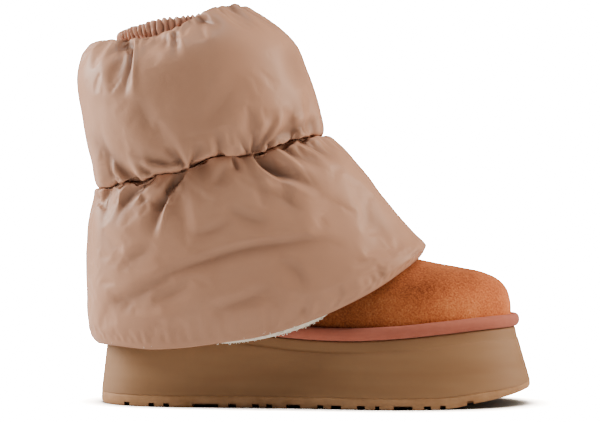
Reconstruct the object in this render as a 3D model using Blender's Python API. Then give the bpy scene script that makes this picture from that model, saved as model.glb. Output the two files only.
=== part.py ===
"""Puffer ankle boot for the right foot, on a tall moulded platform.

The boot is an assembly of eight pieces. A tread outsole is bonded under a foam midsole. A suede
upper stands on the midsole, with a rolled binding round its foot and a fleece insole inside. A padded
cover is gathered to the upper's ankle: a skirt chamber hangs over the foot, a shaft chamber leans back
above it, and an elastic collar closes the top.

The toe points along +X, the outer side of the foot faces -Y, and the floor is z = 0. The origin lies on
the floor halfway along the sole. Lengths are in metres. An angle of 0 is at the heel, 90 at the outer
side, 180 at the toe and 270 at the inner side.
"""

import math

import bmesh
import bpy
import numpy as np

MM = 0.001

# Sole
SOLE_LENGTH = 281 * MM
SOLE_WIDTH = 110 * MM
HEEL_HEIGHT = 55 * MM
OUTSOLE_THICKNESS = 7.5 * MM
OUTSOLE_BEVEL = 2 * MM
TOE_SPRING = 10.5 * MM
FLARE = 5.5 * MM
TOE_FLARE = 9.5 * MM
TOE_SWING = 4 * MM
STEP_DEPTH = 0.4 * MM
STEP_DROP = 7 * MM
SHOULDER = 1.4 * MM
GROOVE_DEPTH = 2.6 * MM
NOTCH_LENGTH = 15 * MM
SIPE_WIDTH = 4 * MM

# Upper, binding and insole
FEATHER_INSET = 3 * MM
UPPER_WALL = 3 * MM
BINDING_HEIGHT = 8.2 * MM
BINDING_DEPTH = 5.2 * MM
INSOLE_THICKNESS = 6 * MM
ANKLE_HEIGHT = 158 * MM
ANKLE_LENGTH = 122 * MM
ANKLE_WIDTH = 100 * MM
ANKLE_RIM = 5 * MM
SHAFT_LEAN = math.radians(12.3)

# Padded cover
WAIST_WALL = 4 * MM
SHAFT_LENGTH = 152 * MM
SHAFT_WIDTH = 136 * MM
SHAFT_HEIGHT = 95 * MM
SHAFT_GATHER = 5 * MM
SHOULDER_DIP = 4 * MM
NECK_DROP = 9 * MM
NECK_TILT = math.radians(3)
SKIRT_OVERHANG = 11 * MM
SKIRT_WIDTH = 126 * MM
SKIRT_SWING = 3 * MM
SKIRT_PAD = 11 * MM
SKIRT_GATHER = 5 * MM
HEM_HEIGHT = 38 * MM
HEM_LIFT = 58 * MM
COLLAR_LENGTH = 84 * MM
COLLAR_WIDTH = 74 * MM
COLLAR_HEIGHT = 13 * MM
COLLAR_WALL = 2.4 * MM
COLLAR_RIB = 1 * MM

# The gap that touching pieces keep
GAP = 0.3 * MM

# Where the ankle's middle and the skirt's tip lie, as shares of the sole's length from the heel
ANKLE_STATION = 0.255
SKIRT_STATION = 0.7546

# Where the toe's swing, its flare and its thinner tread start, as shares of the way to the toe
SWING_START = 0.45
FLARE_START = 0.72
THINNING_START = 0.80

# How square the ovals of the cover are
OVAL_POWER = 0.90
HEM_POWER = 0.78

# Points round each piece
SOLE_POINTS = 72
UPPER_POINTS = 48
COVER_POINTS = 64
BINDING_SIDES = 8

# Shares: how much thinner the tread is at the toe, how high its edge is widest, how high the footbed's
# edge turns over, and how wide the upper's top stands against the ankle's rim
TOE_THINNING = 0.35
TREAD_EDGE = 0.45
FOOTBED_EDGE = 0.7
RIM_SHARE = 0.97

# Plan of the sole's widest edge. Columns: station as a share of the length, then how full the outer and
# the inner side are: half the breadth, as a share of the sole's width, of the oval that passes there.
SOLE_PLAN = (
    (0.00, 0.645, 0.645),
    (0.15, 0.520, 0.515),
    (0.35, 0.410, 0.382),
    (0.50, 0.430, 0.395),
    (0.68, 0.545, 0.520),
    (0.85, 0.615, 0.640),
    (1.00, 0.680, 0.690),
)

# Height of the platform's top. Columns: station, share of the heel height.
TOP_LINE = (
    (0.00, 1.000),
    (0.12, 0.985),
    (0.22, 0.950),
    (0.31, 0.900),
    (0.39, 0.843),
    (0.47, 0.800),
    (0.58, 0.782),
    (0.70, 0.815),
    (0.80, 0.862),
    (0.90, 0.907),
    (1.00, 0.925),
)

# Rise of the tread at the toe. Columns: station, share of the toe spring.
SPRING_LINE = (
    (0.79, 0.00),
    (0.84, 0.14),
    (0.87, 0.30),
    (0.92, 0.53),
    (0.965, 0.76),
    (1.00, 1.00),
)

# Notches in the edge of the tread. Columns: station where the notch starts, width as a share of the length.
NOTCHES = (
    (0.067, 0.013),
    (0.126, 0.014),
    (0.161, 0.014),
    (0.228, 0.060),
    (0.311, 0.018),
    (0.366, 0.016),
    (0.398, 0.014),
    (0.444, 0.032),
    (0.515, 0.015),
    (0.547, 0.023),
    (0.607, 0.018),
    (0.648, 0.010),
    (0.690, 0.042),
    (0.758, 0.016),
    (0.794, 0.013),
    (0.855, 0.015),
)

# Stations of the grooves that cross the middle of the tread
SIPES = (0.13, 0.19, 0.25, 0.45, 0.53, 0.61, 0.69, 0.77)

# Rings of the suede upper, from its foot to the ankle. Columns: back and front end as shares of its
# length, width as a share of the foot's, narrowing of the front, rise of the back and of the front as
# shares of the height from the heel seat to the ankle, how far the ring has left the sole's curved
# top, and how far it has turned from the foot's outline into the ankle's oval.
UPPER_RINGS = (
    (0.000, 1.000, 1.000, 0.00, 0.000, 0.000, 0.00, 0.00),
    (0.000, 1.000, 1.005, 0.00, 0.050, 0.062, 0.00, 0.00),
    (-0.003, 0.998, 1.000, 0.01, 0.140, 0.160, 0.00, 0.00),
    (-0.005, 0.987, 0.975, 0.03, 0.230, 0.242, 0.05, 0.00),
    (-0.005, 0.964, 0.930, 0.07, 0.320, 0.299, 0.12, 0.01),
    (-0.004, 0.928, 0.870, 0.12, 0.400, 0.340, 0.20, 0.04),
    (-0.002, 0.875, 0.810, 0.17, 0.475, 0.370, 0.32, 0.10),
    (0.000, 0.800, 0.770, 0.20, 0.550, 0.402, 0.50, 0.22),
    (0.004, 0.715, 0.755, 0.20, 0.630, 0.443, 0.70, 0.40),
    (0.008, 0.630, 0.770, 0.15, 0.700, 0.508, 0.85, 0.60),
    (0.011, 0.557, 0.780, 0.08, 0.765, 0.608, 1.00, 0.78),
    (0.013, 0.508, 0.810, 0.03, 0.825, 0.745, 1.00, 0.90),
    (0.014, 0.484, 0.840, 0.00, 0.880, 0.920, 1.00, 0.98),
)

# Rings of the skirt chamber, from the waist seam to the hem. Columns: how far the back stands out and
# hangs down, how far the front reaches out and hangs down, share of the full width, how far the ring
# follows the hem's curve, and share of the pad's thickness.
SKIRT_RINGS = (
    (0.62, 0.020, 0.15, -0.030, 0.40, 0.00, 0.0),
    (0.84, 0.110, 0.28, 0.025, 0.64, 0.05, 0.6),
    (0.96, 0.230, 0.45, 0.205, 0.84, 0.15, 0.9),
    (1.00, 0.400, 0.62, 0.420, 0.95, 0.35, 1.0),
    (1.02, 0.550, 0.77, 0.610, 1.00, 0.60, 1.0),
    (1.00, 0.700, 0.90, 0.775, 1.02, 0.82, 0.9),
    (0.97, 0.830, 0.98, 0.870, 1.01, 0.94, 0.7),
    (0.91, 0.925, 1.00, 0.930, 0.97, 1.00, 0.45),
    (0.78, 0.975, 0.98, 0.970, 0.92, 1.00, 0.2),
)

# The hem's lowest ring, with the columns of the skirt's rings
HEM_RING = (0.62, 1.000, 0.955, 0.985, 0.87, 1.00, 0.0)

# The hem's curve from back to front. Columns: share of its length, share of its lift.
HEM_LINE = (
    (0.00, 0.030),
    (0.10, 0.022),
    (0.22, 0.000),
    (0.30, 0.020),
    (0.42, 0.080),
    (0.54, 0.155),
    (0.66, 0.290),
    (0.78, 0.480),
    (0.88, 0.680),
    (0.95, 0.860),
    (1.00, 1.000),
)

# Rings of the shaft chamber, from the waist seam up and over to the collar. Columns: height as a share
# of the shaft's height, reach at the back and at the front as shares of half its length, and reach at
# the sides as a share of half its width.
SHAFT_RINGS = (
    (0.010, 0.960, 0.970, 0.930),
    (0.060, 1.010, 1.020, 0.985),
    (0.180, 1.005, 1.020, 1.000),
    (0.340, 1.000, 0.998, 1.000),
    (0.500, 0.985, 0.968, 0.985),
    (0.640, 0.980, 0.937, 0.965),
    (0.760, 0.960, 0.850, 0.925),
    (0.860, 0.915, 0.740, 0.850),
    (0.930, 0.860, 0.655, 0.745),
    (0.970, 0.750, 0.605, 0.650),
)

# The lining of the shaft chamber, from the collar down. Columns: height share, share of the way from the
# ankle's oval in to the collar's.
SHAFT_LINING = (
    (0.780, 0.80),
    (0.550, 0.50),
    (0.300, 0.18),
    (0.080, 0.00),
)

# Main folds at the waist seam. Columns: angle, half width in degrees, depth share, reach as a share of
# the chamber's height.
WAIST_FOLDS = (
    (12, 7, 0.7, 0.30),
    (35, 6, 0.8, 0.35),
    (52, 6, 0.7, 0.40),
    (76, 7, 1.0, 0.55),
    (105, 6, 0.7, 0.30),
    (116, 6, 0.9, 0.45),
    (139, 7, 0.8, 0.40),
    (160, 8, 0.9, 0.35),
    (188, 7, 0.8, 0.35),
    (208, 7, 0.8, 0.40),
    (232, 7, 0.9, 0.45),
    (258, 7, 0.8, 0.35),
    (284, 7, 1.0, 0.45),
    (310, 7, 0.8, 0.40),
    (337, 7, 0.8, 0.35),
)

# Main folds under the collar, with the same columns
COLLAR_FOLDS = (
    (20, 8, 0.7, 0.30),
    (40, 6, 0.8, 0.25),
    (56, 6, 1.0, 0.50),
    (80, 6, 0.9, 0.35),
    (105, 7, 0.8, 0.25),
    (135, 8, 0.7, 0.30),
    (165, 8, 0.8, 0.30),
    (195, 8, 0.8, 0.35),
    (225, 8, 0.9, 0.35),
    (255, 7, 0.8, 0.30),
    (285, 8, 0.9, 0.35),
    (315, 8, 0.8, 0.30),
    (342, 8, 0.8, 0.30),
)


def lerp(a, b, t):
    return a + (b - a) * t


def table_value(rows, column, at):
    """A smooth curve through one column of a table whose first column rises."""
    x = np.array([row[0] for row in rows])
    y = np.array([row[column] for row in rows])
    slope = np.gradient(y, x)
    at = np.clip(at, x[0], x[-1])
    k = np.clip(np.searchsorted(x, at) - 1, 0, len(x) - 2)
    width = x[k + 1] - x[k]
    t = (at - x[k]) / width
    return (
        y[k] * (1 + 2 * t) * (1 - t) ** 2
        + slope[k] * width * t * (1 - t) ** 2
        + y[k + 1] * t * t * (3 - 2 * t)
        - slope[k + 1] * width * t * t * (1 - t)
    )


def angles(count):
    return np.arange(count) * 2 * math.pi / count


def power(values, exponent):
    return np.sign(values) * np.abs(values) ** exponent


def smooth_step(low, high, values):
    t = np.clip((values - low) / (high - low), 0, 1)
    return t * t * (3 - 2 * t)


def station(x):
    """Share of the sole's length from the heel."""
    return np.clip(x / SOLE_LENGTH + 0.5, 0, 1)


def outward(loop):
    """Unit normals of a closed plan outline that runs heel, outer side, toe, inner side."""
    along = np.roll(loop, -1, 0) - np.roll(loop, 1, 0)
    normal = np.stack([along[:, 1], -along[:, 0]], 1)
    return normal / np.linalg.norm(normal, axis=1, keepdims=True)


def sole_plan(count, inset=0.0):
    """Plan outline of the sole's widest edge, drawn in by inset, which may differ from point to point."""
    phi = angles(count)
    share = (1 - np.cos(phi)) / 2
    side = np.where(np.sin(phi) >= 0, table_value(SOLE_PLAN, 1, share), table_value(SOLE_PLAN, 2, share))
    swing = TOE_SWING * smooth_step(SWING_START, 1.0, share)
    loop = np.stack(
        [
            SOLE_LENGTH * (share - 0.5),
            swing - np.sin(phi) * side * SOLE_WIDTH,
        ],
        1,
    )
    return loop - outward(loop) * np.reshape(inset, (-1, 1))


def flare(count):
    """How far the platform draws in from its widest edge to its top, round the sole."""
    share = (1 - np.cos(angles(count))) / 2
    return lerp(FLARE, TOE_FLARE, smooth_step(FLARE_START, 1.0, share))


def tread_height(x):
    return TOE_SPRING * table_value(SPRING_LINE, 1, station(x))


def joint_height(x):
    """Where the outsole ends and the midsole starts. The outsole thins towards the toe."""
    thinner = TOE_THINNING * smooth_step(THINNING_START, 1.0, station(x))
    return tread_height(x) + OUTSOLE_THICKNESS * (1 - thinner)


def top_height(x):
    return HEEL_HEIGHT * table_value(TOP_LINE, 1, station(x))


def feather_plan(count, grow=0.0):
    """Plan outline of the upper's foot, on the platform's top."""
    return sole_plan(count, flare(count) + FEATHER_INSET - grow)


def lift(loop, height):
    return np.column_stack([loop, np.broadcast_to(height, len(loop))])


def solid(name, rows, material, caps=False):
    """A closed solid from rows of points. With caps the ends are closed, otherwise the last row meets the
    first again, as round a wall."""
    count = len(rows[0])
    mesh = bmesh.new()
    grid = [[mesh.verts.new(point) for point in row] for row in rows]
    bands = list(zip(grid, grid[1:])) if caps else list(zip(grid, grid[1:] + grid[:1]))
    for low, high in bands:
        for i in range(count):
            j = (i + 1) % count
            mesh.faces.new((low[i], low[j], high[j], high[i]))
    if caps:
        for row in (grid[0], grid[-1]):
            for i in range(count // 2):
                across = [row[i], row[i + 1], row[-i - 1], row[-i]] if i else [row[0], row[1], row[-1]]
                mesh.faces.new(list(dict.fromkeys(across)))
    bmesh.ops.recalc_face_normals(mesh, faces=mesh.faces)
    data = bpy.data.meshes.new(name)
    mesh.to_mesh(data)
    mesh.free()
    return place(name, data, material)


def place(name, data, material):
    piece = bpy.data.objects.new(name, data)
    bpy.context.scene.collection.objects.link(piece)
    data.shade_smooth()
    data.set_sharp_from_angle(angle=math.radians(40))
    data.materials.append(material)
    return piece


def finish(name, colour, roughness, metallic=0.0):
    material = bpy.data.materials.new(name)
    material.use_nodes = True
    shader = material.node_tree.nodes["Principled BSDF"]
    shader.inputs["Base Color"].default_value = (*colour, 1)
    shader.inputs["Roughness"].default_value = roughness
    shader.inputs["Metallic"].default_value = metallic
    return material


def block(mesh, x, y, z):
    """Adds a box to a bmesh, from pairs of low and high bounds."""
    corners = bmesh.ops.create_cube(mesh, size=1)["verts"]
    for corner in corners:
        corner.co = [lerp(low, high, 0.5 + share) for share, (low, high) in zip(corner.co, (x, y, z))]


def tread_cutter():
    """Notches in from both edges of the tread, and grooves across its middle."""
    plan = sole_plan(SOLE_POINTS)
    half = len(plan) // 2
    mesh = bmesh.new()
    for start, width in NOTCHES:
        low = SOLE_LENGTH * (start - 0.5)
        high = low + width * SOLE_LENGTH
        middle = (low + high) / 2
        floor = tread_height(middle)
        outer = np.interp(middle, plan[: half + 1, 0], plan[: half + 1, 1])
        inner = np.interp(middle, plan[:half:-1, 0], plan[:half:-1, 1])
        for edge, side in ((outer, -1), (inner, 1)):
            reach = sorted((edge - side * NOTCH_LENGTH, edge + side * NOTCH_LENGTH))
            block(mesh, (low, high), reach, (floor - GROOVE_DEPTH, floor + GROOVE_DEPTH))
    for share in SIPES:
        low = SOLE_LENGTH * (share - 0.5)
        outer = np.interp(low, plan[: half + 1, 0], plan[: half + 1, 1])
        inner = np.interp(low, plan[:half:-1, 0], plan[:half:-1, 1])
        margin = NOTCH_LENGTH + SIPE_WIDTH
        block(
            mesh,
            (low, low + SIPE_WIDTH),
            (outer + margin, inner - margin),
            (-GROOVE_DEPTH, GROOVE_DEPTH),
        )
    data = bpy.data.meshes.new("tread_cutter")
    mesh.to_mesh(data)
    mesh.free()
    cutter = bpy.data.objects.new("tread_cutter", data)
    bpy.context.scene.collection.objects.link(cutter)
    cutter.hide_render = True
    cutter.display_type = "WIRE"
    return cutter


def make_outsole():
    """The tread layer: bevelled in to the floor, notched at its edge."""
    edge = sole_plan(SOLE_POINTS)
    foot = sole_plan(SOLE_POINTS, OUTSOLE_BEVEL)
    rows = [
        lift(foot, tread_height(foot[:, 0])),
        lift(edge, lerp(tread_height(edge[:, 0]), joint_height(edge[:, 0]), TREAD_EDGE)),
        lift(edge, joint_height(edge[:, 0])),
    ]
    outsole = solid("outsole", rows, finish("outsole_rubber", (0.42, 0.27, 0.14), 0.7), caps=True)
    cut = outsole.modifiers.new("tread", "BOOLEAN")
    cut.operation = "DIFFERENCE"
    cut.object = tread_cutter()
    return outsole


def make_midsole():
    """The platform: sides that draw in evenly to a shallow step, and a soft shoulder under the binding."""
    inset = flare(SOLE_POINTS)
    edge = sole_plan(SOLE_POINTS)
    rows = [lift(edge, joint_height(edge[:, 0]) + GAP)]

    def side(drop, step):
        """The ring that lies drop below the top."""
        level = 1 - drop / (HEEL_HEIGHT - OUTSOLE_THICKNESS)
        loop = sole_plan(SOLE_POINTS, inset * level + step)
        rows.append(lift(loop, top_height(loop[:, 0]) - drop))

    side(STEP_DROP + STEP_DEPTH, 0)
    side(STEP_DROP, STEP_DEPTH)
    side(SHOULDER, STEP_DEPTH)
    side(0, STEP_DEPTH + SHOULDER)
    return solid("midsole", rows, finish("platform_foam", (0.40, 0.25, 0.13), 0.62), caps=True)


def make_binding():
    """The rolled textile binding that runs round the upper's foot, on the platform's edge."""
    turn = angles(BINDING_SIDES)
    rows = []
    for a in turn:
        grow = GAP + BINDING_DEPTH / 2 * (1 + math.cos(a))
        loop = feather_plan(SOLE_POINTS, grow)
        height = GAP + BINDING_HEIGHT / 2 * (1 + math.sin(a))
        rows.append(lift(loop, top_height(loop[:, 0]) + height))
    return solid("binding", rows, finish("binding_textile", (0.50, 0.20, 0.13), 0.75))


def make_insole():
    """The fleece footbed, which lies inside the upper on the platform."""
    loop = feather_plan(UPPER_POINTS, -(UPPER_WALL + 2 * GAP))
    inner = feather_plan(UPPER_POINTS, -(UPPER_WALL + 2 * GAP + INSOLE_THICKNESS / 3))
    top = top_height(loop[:, 0])
    rows = [
        lift(loop, top + GAP),
        lift(loop, top + INSOLE_THICKNESS * FOOTBED_EDGE),
        lift(inner, top_height(inner[:, 0]) + INSOLE_THICKNESS),
    ]
    return solid("insole", rows, finish("fleece", (0.80, 0.74, 0.64), 0.95), caps=True)


def ankle_middle():
    return np.array([SOLE_LENGTH * (ANKLE_STATION - 0.5), 0.0, ANKLE_HEIGHT])


def leaning(points):
    """From the shaft's own frame, whose axis leans back, to the boot's."""
    cosine, sine = math.cos(SHAFT_LEAN), math.sin(SHAFT_LEAN)
    turned = np.column_stack(
        [
            points[:, 0] * cosine - points[:, 2] * sine,
            points[:, 1],
            points[:, 0] * sine + points[:, 2] * cosine,
        ]
    )
    return turned + ankle_middle()


def oval(count, back, front, half_width, height, exponent=OVAL_POWER):
    """An oval ring in the shaft's own frame, back and front counted from the axis."""
    phi = angles(count)
    x = -power(np.cos(phi), exponent)
    reach = np.where(x < 0, back, front)
    y = -power(np.sin(phi), exponent) * half_width
    return np.column_stack([x * reach, y, np.broadcast_to(height, count)])


def ankle_ring(count, grow, height):
    """The suede's rim, grown outwards by grow."""
    half = ANKLE_LENGTH / 2 + grow
    return oval(count, half, half, ANKLE_WIDTH / 2 + grow, height)


def upper_rings():
    """The suede's outer face, ring by ring from the feather edge to the ankle."""
    foot = feather_plan(UPPER_POINTS)
    heel, toe = foot[:, 0].min(), foot[:, 0].max()
    along = (foot[:, 0] - heel) / (toe - heel)
    rise = ANKLE_HEIGHT - HEEL_HEIGHT
    rim = leaning(ankle_ring(UPPER_POINTS, 0.0, ANKLE_RIM))
    centre = ankle_middle()[1]
    rings = []
    for back, front, width, narrow, rise_back, rise_front, level, turned in UPPER_RINGS:
        x = heel + (toe - heel) * lerp(back, front, along)
        taper = 1 - narrow * smooth_step(0.45, 1.0, along)
        y = lerp(foot[:, 1] * width * taper, centre + rim[:, 1] * RIM_SHARE, turned)
        ground = lerp(top_height(x), HEEL_HEIGHT, level)
        rings.append(np.column_stack([x, y, ground + rise * lerp(rise_back, rise_front, along)]))
    rings[0][:, 2] += GAP
    return rings + [rim]


def surface_normals(rings):
    """Outward unit normals of a surface given as rings from the bottom up."""
    grid = np.array(rings)
    round_it = np.roll(grid, -1, 1) - np.roll(grid, 1, 1)
    up = np.gradient(grid, axis=0)
    normal = np.cross(round_it, up)
    return normal / np.linalg.norm(normal, axis=2, keepdims=True)


def make_upper():
    """The suede boot on its last: one wall, open underneath and at the ankle."""
    rings = upper_rings()
    normals = surface_normals(rings)
    normals[0, :, 2] = 0
    normals[0] /= np.linalg.norm(normals[0], axis=1, keepdims=True)
    inner = [ring - normal * UPPER_WALL for ring, normal in zip(rings, normals)]
    inner[-1] = leaning(ankle_ring(UPPER_POINTS, -UPPER_WALL, ANKLE_RIM))
    return solid("upper", rings + inner[::-1], finish("suede", (0.52, 0.22, 0.08), 0.9))


def waist_ring(grow, height):
    """The seam that gathers both chambers to the suede."""
    return ankle_ring(COVER_POINTS, GAP + WAIST_WALL + grow, height)


def folded(ring, folds, depth, away):
    """Draws a ring in towards its middle at each fold. away is the ring's distance from the seam, as a
    share of the chamber's height."""
    degrees = np.degrees(angles(len(ring)))
    half_turn = math.degrees(math.pi)
    drawn = np.zeros(len(ring))
    for angle, half_width, share, reach in folds:
        off = (degrees - angle + half_turn) % (2 * half_turn) - half_turn
        drawn += share * np.exp(-((off / half_width) ** 2)) * np.exp(-((away / reach) ** 2))
    middle = ring.mean(axis=0)
    spoke = ring - middle
    spoke[:, 2] = 0
    length = np.linalg.norm(spoke, axis=1, keepdims=True)
    return ring - spoke / length * (depth * drawn)[:, None]


def shaft_rings():
    """The shaft chamber's outer face in the shaft's own frame, from the waist seam up to the collar."""
    rings = [waist_ring(0.0, GAP)]
    for height, back, front, side in SHAFT_RINGS:
        half = SHAFT_LENGTH / 2
        dip = SHOULDER_DIP * np.sin(angles(COVER_POINTS)) ** 2 * smooth_step(0.6, 1.0, height)
        level = SHAFT_HEIGHT * height - dip
        ring = oval(COVER_POINTS, half * back, half * front, SHAFT_WIDTH / 2 * side, level)
        ring = folded(ring, WAIST_FOLDS, SHAFT_GATHER, height)
        rings.append(folded(ring, COLLAR_FOLDS, SHAFT_GATHER, 1 - height))
    return rings


def neck_ring(inset, height):
    """A ring round the top opening, tilted up to the front."""
    half = COLLAR_LENGTH / 2 - inset
    ring = oval(COVER_POINTS, half, half, COLLAR_WIDTH / 2 - inset, 0.0)
    ring[:, 2] = height + ring[:, 0] * math.tan(NECK_TILT)
    return ring


def make_shaft():
    """The upper padded chamber: gathered at the waist, puffed, and gathered again at the collar."""
    rings = shaft_rings()
    rings.append(neck_ring(-GAP - COLLAR_WALL, SHAFT_HEIGHT - NECK_DROP))
    rings.append(neck_ring(-GAP, SHAFT_HEIGHT - NECK_DROP - COLLAR_WALL))
    for height, share in SHAFT_LINING:
        half = lerp(ANKLE_LENGTH / 2, COLLAR_LENGTH / 2, share) + GAP
        side = lerp(ANKLE_WIDTH / 2, COLLAR_WIDTH / 2, share) + GAP
        rings.append(oval(COVER_POINTS, half, half, side, SHAFT_HEIGHT * height))
    rings.append(ankle_ring(COVER_POINTS, GAP, GAP))
    rows = [leaning(ring) for ring in rings]
    return solid("shaft_puffer", rows, finish("puffer_nylon", (0.55, 0.39, 0.30), 0.42))


def skirt_rings():
    """The skirt chamber's outer face, from the waist seam down to the hem."""
    phi = angles(COVER_POINTS)
    seam = leaning(waist_ring(0.0, -GAP))
    back_x, back_z = seam[:, 0].min(), seam[seam[:, 0].argmin(), 2]
    front_x, front_z = seam[:, 0].max(), seam[seam[:, 0].argmax(), 2]
    rear = -SOLE_LENGTH / 2 - SKIRT_OVERHANG
    tip = SOLE_LENGTH * (SKIRT_STATION - 0.5)
    seam_side = ANKLE_WIDTH / 2 + GAP + WAIST_WALL
    rings = [seam]
    for back_out, back_down, front_out, front_down, wide, hem, _ in SKIRT_RINGS + (HEM_RING,):
        exponent = lerp(OVAL_POWER, HEM_POWER, hem)
        along = (1 - power(np.cos(phi), exponent)) / 2
        x = lerp(lerp(back_x, rear, back_out), lerp(front_x, tip, front_out), along)
        swing = hem * SKIRT_SWING * smooth_step(0.3, 0.8, station(x))
        y = swing - power(np.sin(phi), exponent) * lerp(seam_side, SKIRT_WIDTH / 2, wide)
        reach = (x - rear) / (tip - rear)
        line = lerp(along, table_value(HEM_LINE, 1, reach), hem)
        low = lerp(back_z, HEM_HEIGHT, back_down)
        high = lerp(front_z, HEM_HEIGHT + HEM_LIFT, front_down)
        ring = np.column_stack([x, y, lerp(low, high, line)])
        rings.append(folded(ring, WAIST_FOLDS, SKIRT_GATHER, back_down))
    return rings


def make_skirt():
    """The lower padded chamber: gathered at the waist, it hangs over the foot to a turned hem."""
    rings = skirt_rings()
    normals = -surface_normals(rings)
    rows = list(rings)
    for k in range(len(SKIRT_RINGS), 1, -1):
        rows.append(rings[k] - normals[k] * SKIRT_PAD * SKIRT_RINGS[k - 1][6])
    rows.append(leaning(ankle_ring(COVER_POINTS, GAP, -GAP)))
    return solid("skirt_puffer", rows, finish("skirt_nylon", (0.55, 0.39, 0.30), 0.42))


def make_collar():
    """The elastic casing at the top, ruched into narrow ribs."""
    ribs = COLLAR_RIB * (np.arange(COVER_POINTS) % 2)
    foot = SHAFT_HEIGHT - COLLAR_HEIGHT
    rows = []
    for inset, height, ribbed in (
        (COLLAR_RIB, 0.00, 0),
        (COLLAR_RIB, 0.30, 1),
        (COLLAR_RIB, 0.85, 1),
        (COLLAR_RIB + COLLAR_WALL / 3, 1.00, 1),
        (COLLAR_RIB + COLLAR_WALL, 1.00, 0),
        (COLLAR_RIB + COLLAR_WALL, 0.00, 0),
    ):
        ring = neck_ring(inset, foot + COLLAR_HEIGHT * height)
        spoke = ring[:, :2] / np.linalg.norm(ring[:, :2], axis=1, keepdims=True)
        ring[:, :2] += spoke * (ribs * ribbed)[:, None]
        rows.append(leaning(ring))
    return solid("collar_elastic", rows, finish("collar_nylon", (0.52, 0.33, 0.25), 0.5))


def clear_scene():
    for old in list(bpy.data.objects):
        bpy.data.objects.remove(old, do_unlink=True)


def main():
    clear_scene()
    make_outsole()
    make_midsole()
    make_binding()
    make_insole()
    make_upper()
    make_skirt()
    make_shaft()
    make_collar()


main()
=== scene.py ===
"""Looks of the puffer ankle boot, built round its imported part.

The toe points along +X, the outer side of the foot faces -Y, the floor is z = 0. Lengths are in metres.
"""

import math

import bmesh
import bpy
import numpy as np
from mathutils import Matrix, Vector


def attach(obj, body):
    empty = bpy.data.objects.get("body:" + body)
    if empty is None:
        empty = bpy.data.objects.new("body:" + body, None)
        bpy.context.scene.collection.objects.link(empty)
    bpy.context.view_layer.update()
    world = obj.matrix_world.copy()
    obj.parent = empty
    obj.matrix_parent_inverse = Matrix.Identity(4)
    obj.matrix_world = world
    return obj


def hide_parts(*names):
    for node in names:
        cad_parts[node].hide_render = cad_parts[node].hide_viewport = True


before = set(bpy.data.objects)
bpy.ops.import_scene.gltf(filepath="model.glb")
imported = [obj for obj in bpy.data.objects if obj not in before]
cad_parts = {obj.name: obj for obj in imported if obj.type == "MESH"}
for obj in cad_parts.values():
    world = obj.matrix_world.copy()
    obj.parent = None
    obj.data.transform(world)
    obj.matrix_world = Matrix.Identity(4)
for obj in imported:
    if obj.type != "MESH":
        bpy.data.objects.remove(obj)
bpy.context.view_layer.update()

MM = 0.001

# Outsole: a tan rubber tread, moulded with square notches round its edge and cross grooves in the middle.
# It is bonded under the platform, bends up at the toe and thins there.
SOLE_LENGTH = 281 * MM
SOLE_WIDTH = 110 * MM
OUTSOLE_THICKNESS = 7.5 * MM
OUTSOLE_BEVEL = 2 * MM
TOE_SPRING = 10.5 * MM
TOE_SWING = 4 * MM
TOE_THINNING = 0.35
GROOVE_DEPTH = 2.6 * MM
NOTCH_LENGTH = 15 * MM
SIPE_WIDTH = 4 * MM
GAP = 0.3 * MM
GRIP_LINE = 0.15 * MM
TREAD_LIP = 0.5 * MM
SWING_START = 0.45
THINNING_START = 0.80
SOLE_SIDES = 480

# Columns: station from the heel, then how full the outer and the inner side are
SOLE_PLAN = (
    (0.00, 0.645, 0.645),
    (0.15, 0.520, 0.515),
    (0.35, 0.410, 0.382),
    (0.50, 0.430, 0.395),
    (0.68, 0.545, 0.520),
    (0.85, 0.615, 0.640),
    (1.00, 0.680, 0.690),
)

# Columns: station, share of the toe spring
SPRING_LINE = (
    (0.79, 0.00),
    (0.84, 0.14),
    (0.87, 0.30),
    (0.92, 0.53),
    (0.965, 0.76),
    (1.00, 1.00),
)

# Columns: station where the notch starts, width as a share of the length
NOTCHES = (
    (0.067, 0.013),
    (0.126, 0.014),
    (0.161, 0.014),
    (0.228, 0.060),
    (0.311, 0.018),
    (0.366, 0.016),
    (0.398, 0.014),
    (0.444, 0.032),
    (0.515, 0.015),
    (0.547, 0.023),
    (0.607, 0.018),
    (0.648, 0.010),
    (0.690, 0.042),
    (0.758, 0.016),
    (0.794, 0.013),
    (0.855, 0.015),
)
SIPES = (0.13, 0.19, 0.25, 0.45, 0.53, 0.61, 0.69, 0.77)

# The edge's rounded foot. Columns: share of the bevel's depth that is left, share of the tread's height
TREAD_PROFILE = ((0, 0), (0.25, 0.03), (0.5, 0.10), (0.75, 0.24), (1, 0.45), (1, 0.72))
TREAD_TOP = 0.93
BEVEL_POWER = 1.5
TREAD_CREASE = math.radians(38)


def lerp(a, b, t):
    return a + (b - a) * t


def smooth_step(low, high, values):
    t = np.clip((values - low) / (high - low), 0, 1)
    return t * t * (3 - 2 * t)


def smooth_curve(x, values, at):
    """Values at some places, on smooth curves through those known at x."""
    slope = np.gradient(values, x, axis=0)
    at = np.clip(at, x[0], x[-1])
    k = np.clip(np.searchsorted(x, at) - 1, 0, len(x) - 2)
    shape = np.shape(k) + (1,) * (values.ndim - 1)
    width = np.reshape(x[k + 1] - x[k], shape)
    t = np.reshape(at - x[k], shape) / width
    start = values[k] * (1 + 2 * t) * (1 - t) ** 2 + slope[k] * width * t * (1 - t) ** 2
    end = values[k + 1] * t * t * (3 - 2 * t) - slope[k + 1] * width * t * t * (1 - t)
    return start + end


def table_value(rows, column, at):
    """A smooth curve through one column of a table whose first column rises."""
    return smooth_curve(np.array([row[0] for row in rows]), np.array([row[column] for row in rows]), at)


def angles(count):
    return np.arange(count) * 2 * math.pi / count


def station(x):
    return np.clip(x / SOLE_LENGTH + 0.5, 0, 1)


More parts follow.
